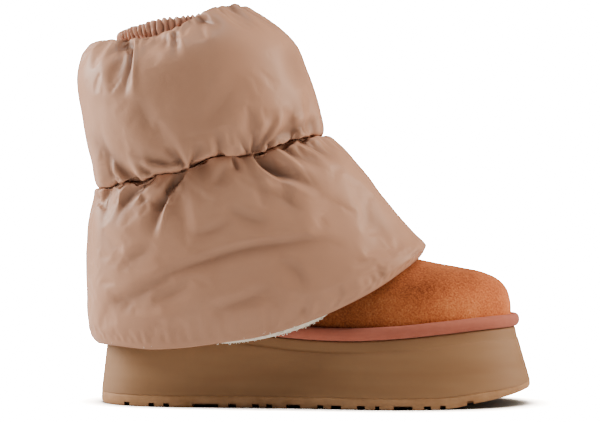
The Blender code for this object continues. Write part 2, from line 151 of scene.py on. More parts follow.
def outward(loop):
    """Unit normals of a closed plan outline that runs heel, outer side, toe, inner side."""
    along = np.roll(loop, -1, 0) - np.roll(loop, 1, 0)
    normal = np.stack([along[:, 1], -along[:, 0]], 1)
    return normal / np.linalg.norm(normal, axis=1, keepdims=True)


def sole_plan(count, inset=0.0):
    """Plan outline of the sole's widest edge, drawn in by inset."""
    phi = angles(count)
    share = (1 - np.cos(phi)) / 2
    side = np.where(np.sin(phi) >= 0, table_value(SOLE_PLAN, 1, share), table_value(SOLE_PLAN, 2, share))
    swing = TOE_SWING * smooth_step(SWING_START, 1.0, share)
    loop = np.stack([SOLE_LENGTH * (share - 0.5), swing - np.sin(phi) * side * SOLE_WIDTH], 1)
    return loop - outward(loop) * np.reshape(inset, (-1, 1))


def tread_height(x):
    return TOE_SPRING * table_value(SPRING_LINE, 1, station(x))


def joint_height(x):
    thinner = TOE_THINNING * smooth_step(THINNING_START, 1.0, station(x))
    return tread_height(x) + OUTSOLE_THICKNESS * (1 - thinner)


def lift(loop, height):
    return np.column_stack([loop, np.broadcast_to(height, len(loop))])


def placed(name, data):
    """A new object in the scene."""
    piece = bpy.data.objects.new(name, data)
    bpy.context.scene.collection.objects.link(piece)
    return piece


def ring_faces(low, high):
    """Four-sided faces between rows of point numbers that run round a piece."""
    return np.stack([low, np.roll(low, -1, 1), np.roll(high, -1, 1), high], -1).reshape(-1, 4)


def ring_mesh(name, rows, caps=False):
    """A closed mesh from rings of points. Its ends are capped, or its last ring meets its first. The UV map
    holds metres round the piece and along it."""
    grid = np.array(rows)
    levels, count = grid.shape[:2]
    index = np.arange(levels * count).reshape(levels, count)
    low = index[:-1] if caps else index
    high = index[1:] if caps else np.roll(index, -1, 0)
    quads = ring_faces(low, high)
    points = grid.reshape(-1, 3)
    a, b, c, d = (points[quads[:, k]] - points.mean(0) for k in range(4))
    volume = (np.cross(a, b) * c).sum() + (np.cross(a, c) * d).sum()
    faces = quads.tolist()
    step_round = np.linalg.norm(np.roll(grid, -1, 1) - grid, axis=2).mean()
    heights = np.linalg.norm(np.diff(grid, axis=0), axis=2).mean(1)
    along = np.concatenate([[0], np.cumsum(heights), [heights.sum() + heights.mean()]])
    left = np.tile(np.arange(count), len(low)) * step_round
    right = left + step_round
    foot = np.repeat(along[: len(low)], count)
    head = np.repeat(along[1 : len(low) + 1], count)
    corners = [(left, foot), (right, foot), (right, head), (left, head)]
    uv = np.stack([np.stack(corner, -1) for corner in corners], 1).reshape(-1, 2)
    if caps:
        half = count // 2
        for row, turned in ((index[0], True), (index[-1], False)):
            for i in range(half):
                face = [row[i], row[i + 1], row[-i - 1], row[-i]] if i else [row[0], row[1], row[-1]]
                face = [int(corner) for corner in dict.fromkeys(face)]
                faces.append(face[::-1] if turned else face)
                uv = np.concatenate([uv, points[face[::-1] if turned else face][:, :2]])
    mesh = bpy.data.meshes.new(name)
    mesh.from_pydata(points.tolist(), [], faces)
    mesh.uv_layers.new(name="UVMap").data.foreach_set("uv", uv.astype(np.float32).ravel())
    if volume < 0:
        mesh.flip_normals()
    mesh.shade_smooth()
    return placed(name, mesh)


def block(mesh, x, y, z):
    """Adds a box to a bmesh, from pairs of low and high bounds."""
    for corner in bmesh.ops.create_cube(mesh, size=1)["verts"]:
        corner.co = [lerp(low, high, 0.5 + share) for share, (low, high) in zip(corner.co, (x, y, z))]


def tread_cutter():
    """Notches in from both edges of the tread, and grooves across its middle."""
    plan = sole_plan(SOLE_SIDES)
    half = SOLE_SIDES // 2

    def edges(x):
        outer = np.interp(x, plan[: half + 1, 0], plan[: half + 1, 1])
        return outer, np.interp(x, plan[:half:-1, 0], plan[:half:-1, 1])

    mesh = bmesh.new()
    for start, width in NOTCHES:
        low = SOLE_LENGTH * (start - 0.5)
        high = low + width * SOLE_LENGTH
        middle = (low + high) / 2
        floor = tread_height(middle)
        for edge in edges(middle):
            reach = (edge - NOTCH_LENGTH, edge + NOTCH_LENGTH)
            block(mesh, (low, high), reach, (floor - GROOVE_DEPTH, floor + GROOVE_DEPTH))
    for share in SIPES:
        low = SOLE_LENGTH * (share - 0.5)
        outer, inner = edges(low)
        margin = NOTCH_LENGTH + SIPE_WIDTH
        reach = (outer + margin, inner - margin)
        block(mesh, (low, low + SIPE_WIDTH), reach, (-GROOVE_DEPTH, GROOVE_DEPTH))
    data = bpy.data.meshes.new("tread_cutter")
    mesh.to_mesh(data)
    mesh.free()
    return placed("tread_cutter", data)


def as_plain_mesh(piece):
    """Takes a piece's modifiers into its mesh."""
    bpy.context.view_layer.update()
    evaluated = piece.evaluated_get(bpy.context.evaluated_depsgraph_get())
    mesh = bpy.data.meshes.new_from_object(evaluated)
    piece.modifiers.clear()
    piece.data = mesh


def feed(tree, node, values):
    """Sets a node's sockets. Each takes a plain value, an output, another node's first output or a list."""
    for socket, value in dict(values).items():
        for source in value if isinstance(value, list) else [value]:
            if isinstance(source, bpy.types.Node):
                source = source.outputs[0]
            if isinstance(source, bpy.types.NodeSocket):
                tree.links.new(source, node.inputs[socket])
            else:
                node.inputs[socket].default_value = source


def add(tree, kind, values=(), **settings):
    """A new node with its settings and its sockets' values."""
    node = tree.nodes.new(kind)
    for name, value in settings.items():
        setattr(node, name, value)
    feed(tree, node, values)
    return node


def calc(tree, operation, *values):
    """A node that works out one number."""
    return add(tree, "ShaderNodeMath", enumerate(values), operation=operation)


def place(tree, kind="Object"):
    """The place of a point, for a texture."""
    return add(tree, "ShaderNodeTexCoord").outputs[kind]


def noise(tree, vector, scale, detail=2.0, roughness=0.5):
    values = {"Vector": vector, "Scale": scale, "Detail": detail, "Roughness": roughness}
    return add(tree, "ShaderNodeTexNoise", values)


def shader_of(name, looks):
    """A new material, with its tree and its main shader."""
    material = bpy.data.materials.new(name)
    material.use_nodes = True
    shader = material.node_tree.nodes["Principled BSDF"]
    feed(material.node_tree, shader, looks)
    return material, material.node_tree, shader


def linear(red, green, blue):
    """A colour from its display values, 0 to 255."""
    values = np.array([red, green, blue]) / 255
    made = np.where(values <= 0.04045, values / 12.92, ((values + 0.055) / 1.055) ** 2.4)
    return (*made.tolist(), 1.0)


def ramp(tree, source, stops):
    """Colours from a number, through stops of (position, colour)."""
    node = add(tree, "ShaderNodeValToRGB", {"Fac": source})
    while len(node.color_ramp.elements) < len(stops):
        node.color_ramp.elements.new(0.5)
    for element, (position, colour) in zip(node.color_ramp.elements, stops):
        element.position = position
        element.color = colour
    return node


def mottled(tree, shader, scale, stops, stretch=(1, 1, 1), detail=4.0, roughness=0.6):
    """Colours a shader by noise of a given scale, stretched along the axes."""
    mapping = add(tree, "ShaderNodeMapping", {"Vector": place(tree), "Scale": stretch})
    feed(tree, shader, {"Base Color": ramp(tree, noise(tree, mapping, scale, detail, roughness), stops)})
    return mapping


def bumped(tree, shader, height, distance, strength=1.0):
    """Gives a shader, or another relief, the relief of an output."""
    bump = add(tree, "ShaderNodeBump", {"Strength": strength, "Distance": distance, "Height": height})
    feed(tree, shader, {"Normal": bump})
    return bump


sole_edge = sole_plan(SOLE_SIDES)
sole_x = sole_edge[:, 0]
tread_foot = tread_height(sole_x)
tread_top = joint_height(sole_x)
outsole_rows = []
for share, level in TREAD_PROFILE:
    edge = sole_plan(SOLE_SIDES, OUTSOLE_BEVEL * (1 - share) ** BEVEL_POWER)
    outsole_rows.append(lift(edge, lerp(tread_foot, tread_top, level)))
outsole_rows.append(lift(sole_plan(SOLE_SIDES, GRIP_LINE), lerp(tread_foot, tread_top, TREAD_TOP)))
outsole_rows.append(lift(sole_plan(SOLE_SIDES, TREAD_LIP), tread_top))
outsole = ring_mesh("outsole_tread", outsole_rows, caps=True)
tread_cut = outsole.modifiers.new("tread", "BOOLEAN")
tread_cut.operation = "DIFFERENCE"
tread_cut.object = tread_cutter()
as_plain_mesh(outsole)
bpy.data.objects.remove(bpy.data.objects["tread_cutter"], do_unlink=True)
outsole.data.set_sharp_from_angle(angle=TREAD_CREASE)

rubber_looks = {"Roughness": 0.7, "Specular IOR Level": 0.25}
rubber, rubber_tree, rubber_shader = shader_of("tan_rubber", rubber_looks)
rubber_colours = ((0.30, linear(152, 110, 74)), (0.70, linear(176, 134, 96)))
rubber_place = mottled(rubber_tree, rubber_shader, 60.0, rubber_colours)
bumped(rubber_tree, rubber_shader, noise(rubber_tree, rubber_place, 900.0, 3.0), 0.12 * MM)
outsole.data.materials.clear()
outsole.data.materials.append(rubber)
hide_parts("outsole")
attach(outsole, "root")


# Midsole: the tall platform, moulded foam with sides that draw in evenly to a shallow step, a soft
# shoulder under the binding and a faint flow line near its foot. The upper is cemented on top.
GLUE_LINE = 0.05 * MM
HEEL_HEIGHT = 55 * MM
FLARE = 5.5 * MM
TOE_FLARE = 9.5 * MM
STEP_DEPTH = 0.4 * MM
STEP_DROP = 7 * MM
SHOULDER = 1.4 * MM
FOOT_LIP = 0.2 * MM
FLARE_START = 0.72
SIDE_RINGS = 26
STEP_RINGS = 4
TOP_RINGS = 5
SHOULDER_RINGS = 6
PLATFORM_CREASE = math.radians(50)

# Columns: station, share of the heel height
TOP_LINE = (
    (0.00, 1.000),
    (0.12, 0.985),
    (0.22, 0.950),
    (0.31, 0.900),
    (0.39, 0.843),
    (0.47, 0.800),
    (0.58, 0.782),
    (0.70, 0.815),
    (0.80, 0.862),
    (0.90, 0.907),
    (1.00, 0.925),
)


def flare(count):
    """How far the platform draws in from its widest edge to its top, round the sole."""
    share = (1 - np.cos(angles(count))) / 2
    return lerp(FLARE, TOE_FLARE, smooth_step(FLARE_START, 1.0, share))


def top_height(x):
    return HEEL_HEIGHT * table_value(TOP_LINE, 1, station(x))


def platform_ring(drop, step):
    """The platform's ring that lies drop below its top."""
    level = 1 - drop / (HEEL_HEIGHT - OUTSOLE_THICKNESS)
    loop = sole_plan(SOLE_SIDES, flare(SOLE_SIDES) * level + step)
    return lift(loop, top_height(loop[:, 0]) - drop)


def between(low, high, count):
    """Rings spaced evenly between two."""
    return [lerp(low, high, t) for t in np.linspace(0, 1, count, endpoint=False)]


platform_foot = tread_top + GLUE_LINE
step_low = platform_ring(STEP_DROP + 2 * STEP_DEPTH, 0)
step_high = platform_ring(STEP_DROP, STEP_DEPTH)
platform_rows = [lift(sole_plan(SOLE_SIDES, FOOT_LIP), platform_foot)]
platform_rows += between(lift(sole_edge, platform_foot + FOOT_LIP), step_low, SIDE_RINGS)
platform_rows += between(step_low, step_high, STEP_RINGS)
platform_rows += between(step_high, platform_ring(SHOULDER, STEP_DEPTH), TOP_RINGS)
for turn in np.linspace(0, math.pi / 2, SHOULDER_RINGS):
    inset = STEP_DEPTH + SHOULDER * (1 - math.cos(turn))
    platform_rows.append(platform_ring(SHOULDER * (1 - math.sin(turn)), inset))
midsole = ring_mesh("midsole_platform", platform_rows, caps=True)
midsole.data.set_sharp_from_angle(angle=PLATFORM_CREASE)

foam_looks = {"Roughness": 0.62, "Specular IOR Level": 0.25}
foam, foam_tree, foam_shader = shader_of("moulded_foam", foam_looks)
foam_colours = ((0.28, linear(136, 99, 66)), (0.72, linear(150, 112, 78)))
foam_place = mottled(foam_tree, foam_shader, 9.0, foam_colours, stretch=(1, 1, 7), detail=2.0)
foam_streaks = noise(foam_tree, foam_place, 30.0, 3.0, 0.55)
foam_relief = bumped(foam_tree, foam_shader, foam_streaks, 0.3 * MM, 0.3)
bumped(foam_tree, foam_relief, noise(foam_tree, place(foam_tree), 700.0), 0.05 * MM, 0.5)
midsole.data.materials.append(foam)
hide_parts("midsole")
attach(midsole, "root")


# Binding: a soft cord rolled in coral textile, sewn round the foot of the upper and lying on the
# platform's edge. Nodes sweep its oval section along the feather line.
FEATHER_INSET = 3 * MM
BINDING_HEIGHT = 8.2 * MM
BINDING_DEPTH = 5.2 * MM
BINDING_SIDES = 24


def feather_plan(count, grow=0.0):
    """Plan outline of the upper's foot, on the platform's top."""
    return sole_plan(count, flare(count) + FEATHER_INSET - grow)


def node_tree(name, **inputs):
    """A Geometry Nodes tree, with the outputs of its named inputs and its end node."""
    tree = bpy.data.node_groups.new(name, "GeometryNodeTree")
    for label, kind in {"Geometry": "Geometry", **inputs, "Material": "Material"}.items():
        tree.interface.new_socket(label, in_out="INPUT", socket_type="NodeSocket" + kind)
    tree.interface.new_socket("Geometry", in_out="OUTPUT", socket_type="NodeSocketGeometry")
    return tree, tree.nodes.new("NodeGroupInput").outputs, tree.nodes.new("NodeGroupOutput")


def finish_tree(tree, last, given, end):
    """Ends a node tree in plain geometry with its material."""
    real = add(tree, "GeometryNodeRealizeInstances", {"Geometry": last})
    dressed = add(tree, "GeometryNodeSetMaterial", {"Geometry": real, "Material": given["Material"]})
    feed(tree, end, {"Geometry": dressed})


def grow_nodes(piece, tree, values):
    """Runs a node tree on a piece, and keeps the plain mesh that it makes."""
    modifier = piece.modifiers.new(tree.name, "NODES")
    modifier.node_group = tree
    for item in tree.interface.items_tree:
        if item.item_type == "SOCKET" and item.in_out == "INPUT" and item.name in values:
            modifier[item.identifier] = values[item.name]
    as_plain_mesh(piece)


cloth_looks = {"Roughness": 0.85, "Sheen Weight": 0.08, "Specular IOR Level": 0.2}
cloth, cloth_tree, cloth_shader = shader_of("coral_textile", cloth_looks)
cloth_colours = ((0.25, linear(164, 92, 73)), (0.75, linear(174, 101, 81)))
mottled(cloth_tree, cloth_shader, 120.0, cloth_colours, detail=6.0, roughness=0.7)
bumped(cloth_tree, cloth_shader, noise(cloth_tree, place(cloth_tree), 1400.0), 0.2 * MM, 0.7)

roll_tree, roll_given, roll_end = node_tree("rolled_binding", Height="Float", Depth="Float", Sides="Int")
roll_path = add(roll_tree, "GeometryNodeMeshToCurve", {"Mesh": roll_given["Geometry"]})
roll_up = add(roll_tree, "GeometryNodeSetCurveNormal", {"Curve": roll_path}, mode="Z_UP")
roll_sides = {"Resolution": roll_given["Sides"], "Radius": 0.5}
roll_circle = add(roll_tree, "GeometryNodeCurvePrimitiveCircle", roll_sides)
roll_axes = {"X": roll_given["Depth"], "Y": roll_given["Height"], "Z": 1.0}
roll_size = add(roll_tree, "ShaderNodeCombineXYZ", roll_axes)
roll_section = add(roll_tree, "GeometryNodeTransform", {"Geometry": roll_circle, "Scale": roll_size})
roll_sweep = add(roll_tree, "GeometryNodeCurveToMesh", {"Curve": roll_up, "Profile Curve": roll_section})
roll_smooth = add(roll_tree, "GeometryNodeSetShadeSmooth", {"Geometry": roll_sweep})
finish_tree(roll_tree, roll_smooth, roll_given, roll_end)

binding_line = feather_plan(SOLE_SIDES, GAP + BINDING_DEPTH / 2)
binding_path = lift(binding_line, top_height(binding_line[:, 0]) + GAP + BINDING_HEIGHT / 2)
binding_mesh = bpy.data.meshes.new("binding_roll")
binding_steps = [(i, (i + 1) % SOLE_SIDES) for i in range(SOLE_SIDES)]
binding_mesh.from_pydata(binding_path.tolist(), binding_steps, [])
binding = placed("binding_roll", binding_mesh)
binding_values = {"Height": BINDING_HEIGHT, "Depth": BINDING_DEPTH, "Sides": BINDING_SIDES, "Material": cloth}
grow_nodes(binding, roll_tree, binding_values)
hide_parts("binding")
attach(binding, "root")


# Upper: the suede boot, lasted in one wall, open underneath and at the ankle. The nap lies in patches.
# Painted shade darkens its colour back from the forefoot, under the skirt, and a painted highlight lightens
# the toe.
UPPER_WALL = 3 * MM
ANKLE_HEIGHT = 158 * MM
ANKLE_LENGTH = 122 * MM
ANKLE_WIDTH = 100 * MM
ANKLE_RIM = 5 * MM
ANKLE_STATION = 0.255
SHAFT_LEAN = math.radians(12.3)
OVAL_POWER = 0.90
UPPER_SIDES = 288
UPPER_SPACING = 1.3 * MM
RIM_SHARE = 0.97
TAPER_START = 0.45
PATCH_SHARE = 0.58
NAP_SHARE = 0.42

# Columns: back and front end as shares of the length, width, narrowing of the front, rise of the back
# and of the front, how far the ring has left the sole's curve, and how far it has turned into the ankle
UPPER_RINGS = (
    (0.000, 1.000, 1.000, 0.00, 0.000, 0.000, 0.00, 0.00),
    (0.000, 1.000, 1.005, 0.00, 0.050, 0.062, 0.00, 0.00),
    (-0.003, 0.998, 1.000, 0.01, 0.140, 0.160, 0.00, 0.00),
    (-0.005, 0.987, 0.975, 0.03, 0.230, 0.242, 0.05, 0.00),
    (-0.005, 0.964, 0.930, 0.07, 0.320, 0.299, 0.12, 0.01),
    (-0.004, 0.928, 0.870, 0.12, 0.400, 0.340, 0.20, 0.04),
    (-0.002, 0.875, 0.810, 0.17, 0.475, 0.370, 0.32, 0.10),
    (0.000, 0.800, 0.770, 0.20, 0.550, 0.402, 0.50, 0.22),
    (0.004, 0.715, 0.755, 0.20, 0.630, 0.443, 0.70, 0.40),
    (0.008, 0.630, 0.770, 0.15, 0.700, 0.508, 0.85, 0.60),
    (0.011, 0.557, 0.780, 0.08, 0.765, 0.608, 1.00, 0.78),
    (0.013, 0.508, 0.810, 0.03, 0.825, 0.745, 1.00, 0.90),
    (0.014, 0.484, 0.840, 0.00, 0.880, 0.920, 1.00, 0.98),
)


def power(values, exponent):
    return np.sign(values) * np.abs(values) ** exponent


def leaning(points):
    """From the shaft's own frame, whose axis leans back, to the boot's."""
    cosine, sine = math.cos(SHAFT_LEAN), math.sin(SHAFT_LEAN)
    x = points[:, 0] * cosine - points[:, 2] * sine + SOLE_LENGTH * (ANKLE_STATION - 0.5)
    z = points[:, 0] * sine + points[:, 2] * cosine + ANKLE_HEIGHT
    return np.column_stack([x, points[:, 1], z])


def oval(count, back, front, half_width, height, exponent=OVAL_POWER):
    """An oval ring in the shaft's own frame, back and front counted from the axis."""
    phi = angles(count)
    x = -power(np.cos(phi), exponent)
    reach = np.where(x < 0, back, front)
    y = -power(np.sin(phi), exponent) * half_width
    return np.column_stack([x * reach, y, np.broadcast_to(height, count)])


def ankle_ring(count, grow, height):
    """The suede's rim, grown outwards by grow."""
    half = ANKLE_LENGTH / 2 + grow
    return oval(count, half, half, ANKLE_WIDTH / 2 + grow, height)


def upper_rings():
    """The suede's outer face, ring by ring from the feather edge to the ankle."""
    foot = feather_plan(UPPER_SIDES)
    heel, toe = foot[:, 0].min(), foot[:, 0].max()
    along = (foot[:, 0] - heel) / (toe - heel)
    rise = ANKLE_HEIGHT - HEEL_HEIGHT
    rim = leaning(ankle_ring(UPPER_SIDES, 0.0, ANKLE_RIM))
    rings = []
    for back, front, width, narrow, rise_back, rise_front, level, turned in UPPER_RINGS:
        x = heel + (toe - heel) * lerp(back, front, along)
        taper = 1 - narrow * smooth_step(TAPER_START, 1.0, along)
        y = lerp(foot[:, 1] * width * taper, rim[:, 1] * RIM_SHARE, turned)
        ground = lerp(top_height(x), HEEL_HEIGHT, level)
        rings.append(np.column_stack([x, y, ground + rise * lerp(rise_back, rise_front, along)]))
    rings[0][:, 2] += GAP
    return rings + [rim]


def refine(rings, spacing):
    """Rings a given distance apart, on smooth curves through the given ones."""
    grid = np.array(rings)
    gaps = np.linalg.norm(np.diff(grid, axis=0), axis=2).mean(1)
    at = np.concatenate([[0], np.cumsum(gaps)])
    return smooth_curve(at, grid, np.linspace(0, at[-1], int(at[-1] / spacing) + 1))


def surface_normals(grid):
    """Unit normals of a surface given as rings, outward where they run from the bottom up."""
    round_it = np.roll(grid, -1, 1) - np.roll(grid, 1, 1)
    up = np.gradient(grid, axis=0)
    normal = np.cross(round_it, up)
    return normal / np.linalg.norm(normal, axis=2, keepdims=True)


suede_face = refine(upper_rings(), UPPER_SPACING)
suede_normals = surface_normals(suede_face)
suede_inside = suede_face - suede_normals * UPPER_WALL
suede_inside[-1] = leaning(ankle_ring(UPPER_SIDES, -UPPER_WALL, ANKLE_RIM))
upper = ring_mesh("suede_upper", np.concatenate([suede_face, suede_inside[::-4]]))

suede_looks = {
    "Roughness": 0.95,
    "Specular IOR Level": 0.2,
    "Sheen Weight": 0.3,
    "Sheen Roughness": 0.45,
    "Sheen Tint": linear(240, 170, 120),
}
suede_colours = (
    (0.34, linear(112, 48, 20)),
    (0.47, linear(176, 94, 50)),
    (0.56, linear(198, 116, 66)),
    (0.68, linear(232, 164, 112)),
)
suede, suede_tree, suede_shader = shader_of("chestnut_suede", suede_looks)
suede_place = place(suede_tree)
suede_patches = noise(suede_tree, suede_place, 16.0, 3.0)
suede_nap = noise(suede_tree, suede_place, 900.0, 3.0, 0.6)
suede_share = calc(suede_tree, "MULTIPLY", suede_nap, NAP_SHARE)
suede_mix = calc(suede_tree, "MULTIPLY_ADD", suede_patches, PATCH_SHARE, suede_share)
# Painted light: the colour darkens back from the forefoot as shade under the skirt, and lightens at the toe
# as a highlight.
suede_ahead = add(suede_tree, "ShaderNodeSeparateXYZ", {"Vector": suede_place})
suede_light_span = {"Value": suede_ahead, "From Min": 15 * MM, "From Max": 120 * MM, "To Min": 0.5, "To Max": 1.25}
suede_painted_light = add(suede_tree, "ShaderNodeMapRange", suede_light_span, interpolation_type="SMOOTHSTEP")
suede_toned = {0: ramp(suede_tree, suede_mix, suede_colours), "Scale": suede_painted_light}
suede_tone = add(suede_tree, "ShaderNodeVectorMath", suede_toned, operation="SCALE")
feed(suede_tree, suede_shader, {"Base Color": suede_tone})
bumped(suede_tree, suede_shader, suede_nap, 0.5 * MM, 0.8)
upper.data.materials.append(suede)
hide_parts("upper")
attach(upper, "root")


# Insole: the fleece footbed, cut to the foot's outline and glued inside on the platform. Nodes plant
# its curls of wool.
INSOLE_THICKNESS = 6 * MM
INSOLE_SIDES = 160
TUFT_LENGTH = 3.2 * MM
TUFT_THICKNESS = 0.5 * MM
INSOLE_TUFTS = 90000.0

# Columns: inset and height, as shares of the footbed's thickness, and whether wool grows there
FOOTBED_PROFILE = (
    (0.00, None, 0),
    (0.00, 0.60, 0),
    (0.12, 0.82, 0),
    (1 / 3, 0.92, 1),
    (0.80, 0.92, 1),
)

fleece_looks = {"Roughness": 0.95, "Sheen Weight": 0.3}
fleece_colours = ((0.3, linear(236, 220, 198)), (0.7, linear(250, 242, 228)))
fleece, fleece_tree, fleece_shader = shader_of("cream_fleece", fleece_looks)
mottled(fleece_tree, fleece_shader, 300.0, fleece_colours)
bumped(fleece_tree, fleece_shader, noise(fleece_tree, place(fleece_tree), 520.0, 4.0, 0.65), 0.8 * MM, 0.9)


def named(tree, name):
    """A mesh attribute's values."""
    return add(tree, "GeometryNodeInputNamedAttribute", {"Name": name}, data_type="FLOAT")


tuft_kinds = {"Density": "Float", "Length": "Float", "Thickness": "Float", "Seed": "Int"}
tuft_tree, tuft_given, tuft_end = node_tree("wool_tufts", **tuft_kinds)
tuft_wanted = calc(tuft_tree, "MULTIPLY", tuft_given["Density"], named(tuft_tree, "wool"))
tuft_spots = {"Mesh": tuft_given["Geometry"], "Density": tuft_wanted, "Seed": tuft_given["Seed"]}
tuft_points = add(tuft_tree, "GeometryNodeDistributePointsOnFaces", tuft_spots)
tuft_bend = {"Resolution": 5, "Radius": 0.32, "Start Angle": 0.0, "Sweep Angle": 4.0}
tuft_curve = add(tuft_tree, "GeometryNodeCurveArc", tuft_bend, mode="RADIUS")
tuft_ring = add(tuft_tree, "GeometryNodeCurvePrimitiveCircle", {"Resolution": 3, "Radius": 0.5})
tuft_thin = calc(tuft_tree, "DIVIDE", tuft_given["Thickness"], tuft_given["Length"])
tuft_scale = add(tuft_tree, "ShaderNodeCombineXYZ", {"X": tuft_thin, "Y": tuft_thin, "Z": 1.0})
tuft_section = add(tuft_tree, "GeometryNodeTransform", {"Geometry": tuft_ring, "Scale": tuft_scale})
tuft_strand = {"Curve": tuft_curve, "Profile Curve": tuft_section, "Fill Caps": True}
tuft_body = add(tuft_tree, "GeometryNodeCurveToMesh", tuft_strand)
tuft_turns = {0: (-math.pi,) * 3, 1: (math.pi,) * 3, "Seed": tuft_given["Seed"]}
tuft_spin = add(tuft_tree, "FunctionNodeRandomValue", tuft_turns, data_type="FLOAT_VECTOR")
tuft_sizes = {2: 0.55, 3: 1.15, "Seed": tuft_given["Seed"]}
tuft_size = add(tuft_tree, "FunctionNodeRandomValue", tuft_sizes, data_type="FLOAT").outputs[1]
tuft_length = calc(tuft_tree, "MULTIPLY", tuft_given["Length"], tuft_size)
tuft_growth = {"Points": tuft_points, "Instance": tuft_body, "Rotation": tuft_spin, "Scale": tuft_length}
tuft_plant = add(tuft_tree, "GeometryNodeInstanceOnPoints", tuft_growth)
tuft_join = add(tuft_tree, "GeometryNodeJoinGeometry", {"Geometry": [tuft_given["Geometry"], tuft_plant]})
tuft_smooth = add(tuft_tree, "GeometryNodeSetShadeSmooth", {"Geometry": tuft_join})
finish_tree(tuft_tree, tuft_smooth, tuft_given, tuft_end)


def write_values(piece, name, values):
    """Stores one number for each point of a piece."""
    attribute = piece.data.attributes.new(name, "FLOAT", "POINT")
    attribute.data.foreach_set("value", np.asarray(values, np.float32).ravel())


def plant_wool(piece, share, density, seed):
    """Plants wool on a piece. share says, point by point, how dense it is."""
    write_values(piece, "wool", share)
    sizes = {"Length": TUFT_LENGTH, "Thickness": TUFT_THICKNESS}
    grow_nodes(piece, tuft_tree, {"Density": density, **sizes, "Seed": seed, "Material": fleece})


insole_rows = []
for inset, height, _ in FOOTBED_PROFILE:
    loop = feather_plan(INSOLE_SIDES, -(UPPER_WALL + 2 * GAP + INSOLE_THICKNESS * inset))
    rise = GAP if height is None else INSOLE_THICKNESS * height
    insole_rows.append(lift(loop, top_height(loop[:, 0]) + rise))
insole = ring_mesh("fleece_insole", insole_rows, caps=True)
insole_wool = np.repeat([row[2] for row in FOOTBED_PROFILE], INSOLE_SIDES)
plant_wool(insole, insole_wool, INSOLE_TUFTS, 3)
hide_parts("insole")
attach(insole, "root")


# Skirt: the lower chamber of the padded cover, rose-taupe nylon over wadding, gathered into the waist
# seam and ending in a turned hem over the foot. A short cloth run swells it, and creases are then pressed
# in from the seam.
WAIST_WALL = 4 * MM
SKIRT_OVERHANG = 8.5 * MM
SKIRT_STATION = 0.7546
SKIRT_WIDTH = 126 * MM
SKIRT_SWING = 3 * MM
SKIRT_SWING_START = 0.3
SKIRT_SWING_END = 0.8
SKIRT_PAD = 11 * MM
SKIRT_GATHER = 5 * MM
HEM_HEIGHT = 38 * MM
HEM_LIFT = 58 * MM
HEM_POWER = 0.78
FOLD_REACH = 0.6
COVER_SIDES = 540
COVER_SPACING = 1.0 * MM
INSIDE_SPACING = 5 * MM
LINING_ROOM = 2.8 * MM
LINING_THICKNESS = 1.4 * MM
COVER_SHARE = 0.4
EYE_SIDE = 115.7 * MM
EYE_BACK = 1795.6 * MM
EYE_HEIGHT = 165 * MM
SIDE_BLEND = 14 * MM
PRESS_START = 6 * MM
PRESS_REACH = 22 * MM
SEAM_HALF = 0.2 * MM
WAVE_REACH = 22 * MM
LEVEL_REACH = 12 * MM
# Painted shade of the folds: the depth at which it is full, and how dark the colour gets there
DEEP_FOLD = 4.6 * MM
FOLD_SHADE = 0.44
LIP_FOLD = 0.7 * MM
RIM_START = 3 * MM
RIM_END = 15 * MM
SKIRT_FOLD_SLOPE = 0.36
SKIRT_FOLD_MOST = 6.5 * MM
SEAM_GROWTH = 0.28
MIDDLE_GROWTH = 0.012
HEM_SLACK = 0.06
PRESSURE = 2.0
CLOTH_STEP = 3
CLOTH_FRAMES = 20
CLOTH_CAP = 9 * MM
SEAM_HELD = 2 * MM
CLOTH_FREE = 14 * MM
CLOTH_HELD = (1.0, 1.0, 0.6)
GATHER_REACH = 20 * MM
CLOTH_SETTINGS = {
    "quality": 6,
    "mass": 0.01,
    "air_damping": 2.0,
    "tension_stiffness": 60.0,
    "compression_stiffness": 60.0,
    "shear_stiffness": 12.0,
    "bending_stiffness": 1.0,
    "tension_damping": 2.0,
    "compression_damping": 2.0,
    "shear_damping": 2.0,
    "bending_damping": 0.2,
}

shaft_axis = np.array([-math.sin(SHAFT_LEAN), 0.0, math.cos(SHAFT_LEAN)])
waist_middle = np.array([SOLE_LENGTH * (ANKLE_STATION - 0.5), 0.0, ANKLE_HEIGHT])

# The waist seam's wander on the outer side. Columns: millimetres ahead of the sole's middle, rise
SEAM_WAVE = (
    (-142, -2.0),
    (-129, -3.8),
    (-120, -3.0),
    (-110, -4.8),
    (-99, -2.6),
    (-88, -4.4),
    (-79, -1.8),
    (-70, 1.0),
    (-62, 0.6),
    (-54, -2.0),
    (-41, -3.4),
    (-31, -1.8),
    (-22, 0.2),
    (-13, 1.4),
    (4, -1.2),
)

# Columns: how far the back stands out and hangs down, how far the front reaches out and hangs down,
# width, how far the ring follows the hem's curve, and share of the pad's thickness
SKIRT_RINGS = (
    (0.62, 0.020, 0.15, -0.030, 0.40, 0.00, 0.0),
    (0.84, 0.110, 0.28, 0.025, 0.64, 0.05, 0.6),
    (0.96, 0.230, 0.45, 0.205, 0.84, 0.15, 0.9),
    (1.00, 0.400, 0.62, 0.420, 0.95, 0.35, 1.0),
    (1.02, 0.550, 0.77, 0.610, 1.00, 0.60, 1.0),
    (1.00, 0.700, 0.90, 0.775, 1.02, 0.82, 0.9),
    (0.97, 0.830, 0.98, 0.870, 1.01, 0.94, 0.7),
    (0.91, 0.925, 1.00, 0.930, 0.97, 1.00, 0.45),
    (0.78, 0.975, 0.98, 0.970, 0.92, 1.00, 0.2),
    (0.62, 1.000, 0.955, 0.985, 0.87, 1.00, 0.0),
)

# Columns: share of the hem's length, share of its lift
HEM_LINE = (
    (0.00, 0.030),
    (0.10, 0.022),
    (0.22, 0.000),
    (0.30, 0.020),
    (0.42, 0.080),
    (0.54, 0.155),
    (0.66, 0.290),
    (0.78, 0.480),
    (0.88, 0.680),
    (0.95, 0.860),
    (1.00, 1.000),
)

